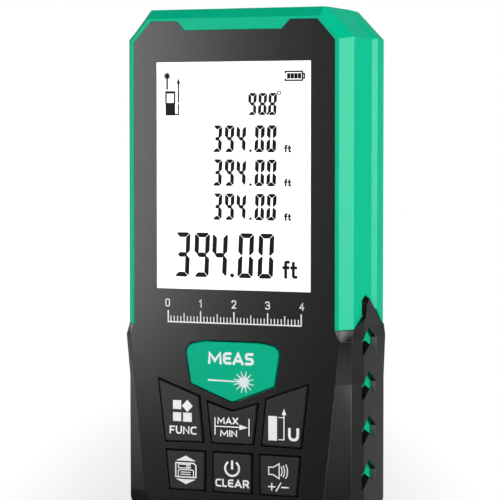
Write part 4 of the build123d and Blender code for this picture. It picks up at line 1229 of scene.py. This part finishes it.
class METER_OT_studio(bpy.types.Operator):
    """Set the white sweep, the lamps, the surroundings and the camera"""

    bl_idname = "meter.studio"
    bl_label = "Studio"

    def execute(self, context):
        studio = settings()[2]
        scene = context.scene
        self.add_sweep()
        self.add_surroundings(scene, studio.world)
        for name, (setting, azimuth, elevation, distance, size, unseen) in LAMPS.items():
            made = lamp(name, azimuth, elevation, distance, size, getattr(studio, setting))
            if unseen:
                setattr(made, unseen, False)
        camera = bpy.data.cameras.new("view")
        camera.lens, camera.sensor_width = CAMERA_LENS, 36.0
        camera.clip_start, camera.clip_end = 0.01, 20.0
        seat = bpy.data.objects.new("view", camera)
        seat.location = CAMERA_PLACE
        seat.rotation_euler = [math.radians(turn) for turn in CAMERA_TURN]
        scene.collection.objects.link(seat)
        scene.camera = seat
        scene.view_settings.view_transform = "Standard"
        return {"FINISHED"}

    def add_sweep(self):
        """A floor that curves up behind: straight, quarter circle and straight, along X."""
        half, bend, back, top, front, columns = 2.5, 0.8, 2.6, 2.6, -0.3, 9
        turn = np.linspace(0, math.pi / 2, 24)
        profile = np.concatenate([
            [(front, 0.0)],
            np.column_stack([back - bend + bend * np.sin(turn), bend - bend * np.cos(turn)]),
            [(back, top)],
        ])
        across = np.linspace(-half, half, columns)
        points = np.stack([
            np.repeat(across[None, :], len(profile), axis=0),
            *(np.repeat(profile[:, k:k + 1], columns, axis=1) for k in (0, 1)),
        ], axis=-1).reshape(-1, 3)
        mesh = bpy.data.meshes.new("paper_sweep")
        mesh.from_pydata(points.tolist(), [], grid_quads(len(profile), columns).tolist())
        mesh.polygons.foreach_set("use_smooth", np.ones(len(mesh.polygons), bool))
        mesh.materials.append(sweep_material())
        sweep = bpy.data.objects.new("paper_sweep", mesh)
        bpy.context.scene.collection.objects.link(sweep)

    def add_surroundings(self, scene, strength):
        """A white world that dims upwards, at full strength where the camera sees it."""
        world = bpy.data.worlds.new("surroundings")
        world.use_nodes = True
        scene.world = world
        tree = world.node_tree
        background = tree.nodes["Background"]
        background.inputs["Color"].default_value = (1.0, 1.0, 1.0, 1.0)
        path = node(tree, "ShaderNodeLightPath")
        upwards = place_of(tree, "Generated")["Z"]
        even = ramp(tree, upwards, 0.0, 0.8, strength, 0.3 * strength)
        level = math_node(tree, "MAXIMUM", path.outputs["Is Camera Ray"], even)
        tree.links.new(level, background.inputs["Strength"])


# ---------------------------------------------------------------- panel and registration
STEPS = ("mouldings", "inner_parts", "display", "scale", "key_prints", "tripod_bush",
         "back_screws", "cells", "studio")


class METER_PT_panel(bpy.types.Panel):
    """The steps that dress the meter, and their settings"""

    bl_label = "Laser Distance Meter"
    bl_space_type = "VIEW_3D"
    bl_region_type = "UI"
    bl_category = "Meter"

    def draw(self, context):
        scene = context.scene
        for group in (scene.meter_colours, scene.meter_prints, scene.meter_studio):
            column = self.layout.column(align=True)
            for name in group.__annotations__:
                column.prop(group, name)
        for step in STEPS:
            self.layout.operator("meter." + step)


CLASSES = (
    MeterColours, MeterPrints, MeterStudio, METER_OT_mouldings, METER_OT_inner_parts,
    METER_OT_display, METER_OT_scale, METER_OT_key_prints, METER_OT_tripod_bush,
    METER_OT_back_screws, METER_OT_cells, METER_OT_studio, METER_PT_panel,
)


def register():
    for kind in CLASSES:
        bpy.utils.register_class(kind)
    bpy.types.Scene.meter_colours = PointerProperty(type=MeterColours)
    bpy.types.Scene.meter_prints = PointerProperty(type=MeterPrints)
    bpy.types.Scene.meter_studio = PointerProperty(type=MeterStudio)


def unregister():
    del bpy.types.Scene.meter_studio
    del bpy.types.Scene.meter_prints
    del bpy.types.Scene.meter_colours
    for kind in reversed(CLASSES):
        bpy.utils.unregister_class(kind)


def main():
    """Registers the add-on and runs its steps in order."""
    register()
    for step in STEPS:
        getattr(bpy.ops.meter, step)()


if __name__ == "__main__":
    main()
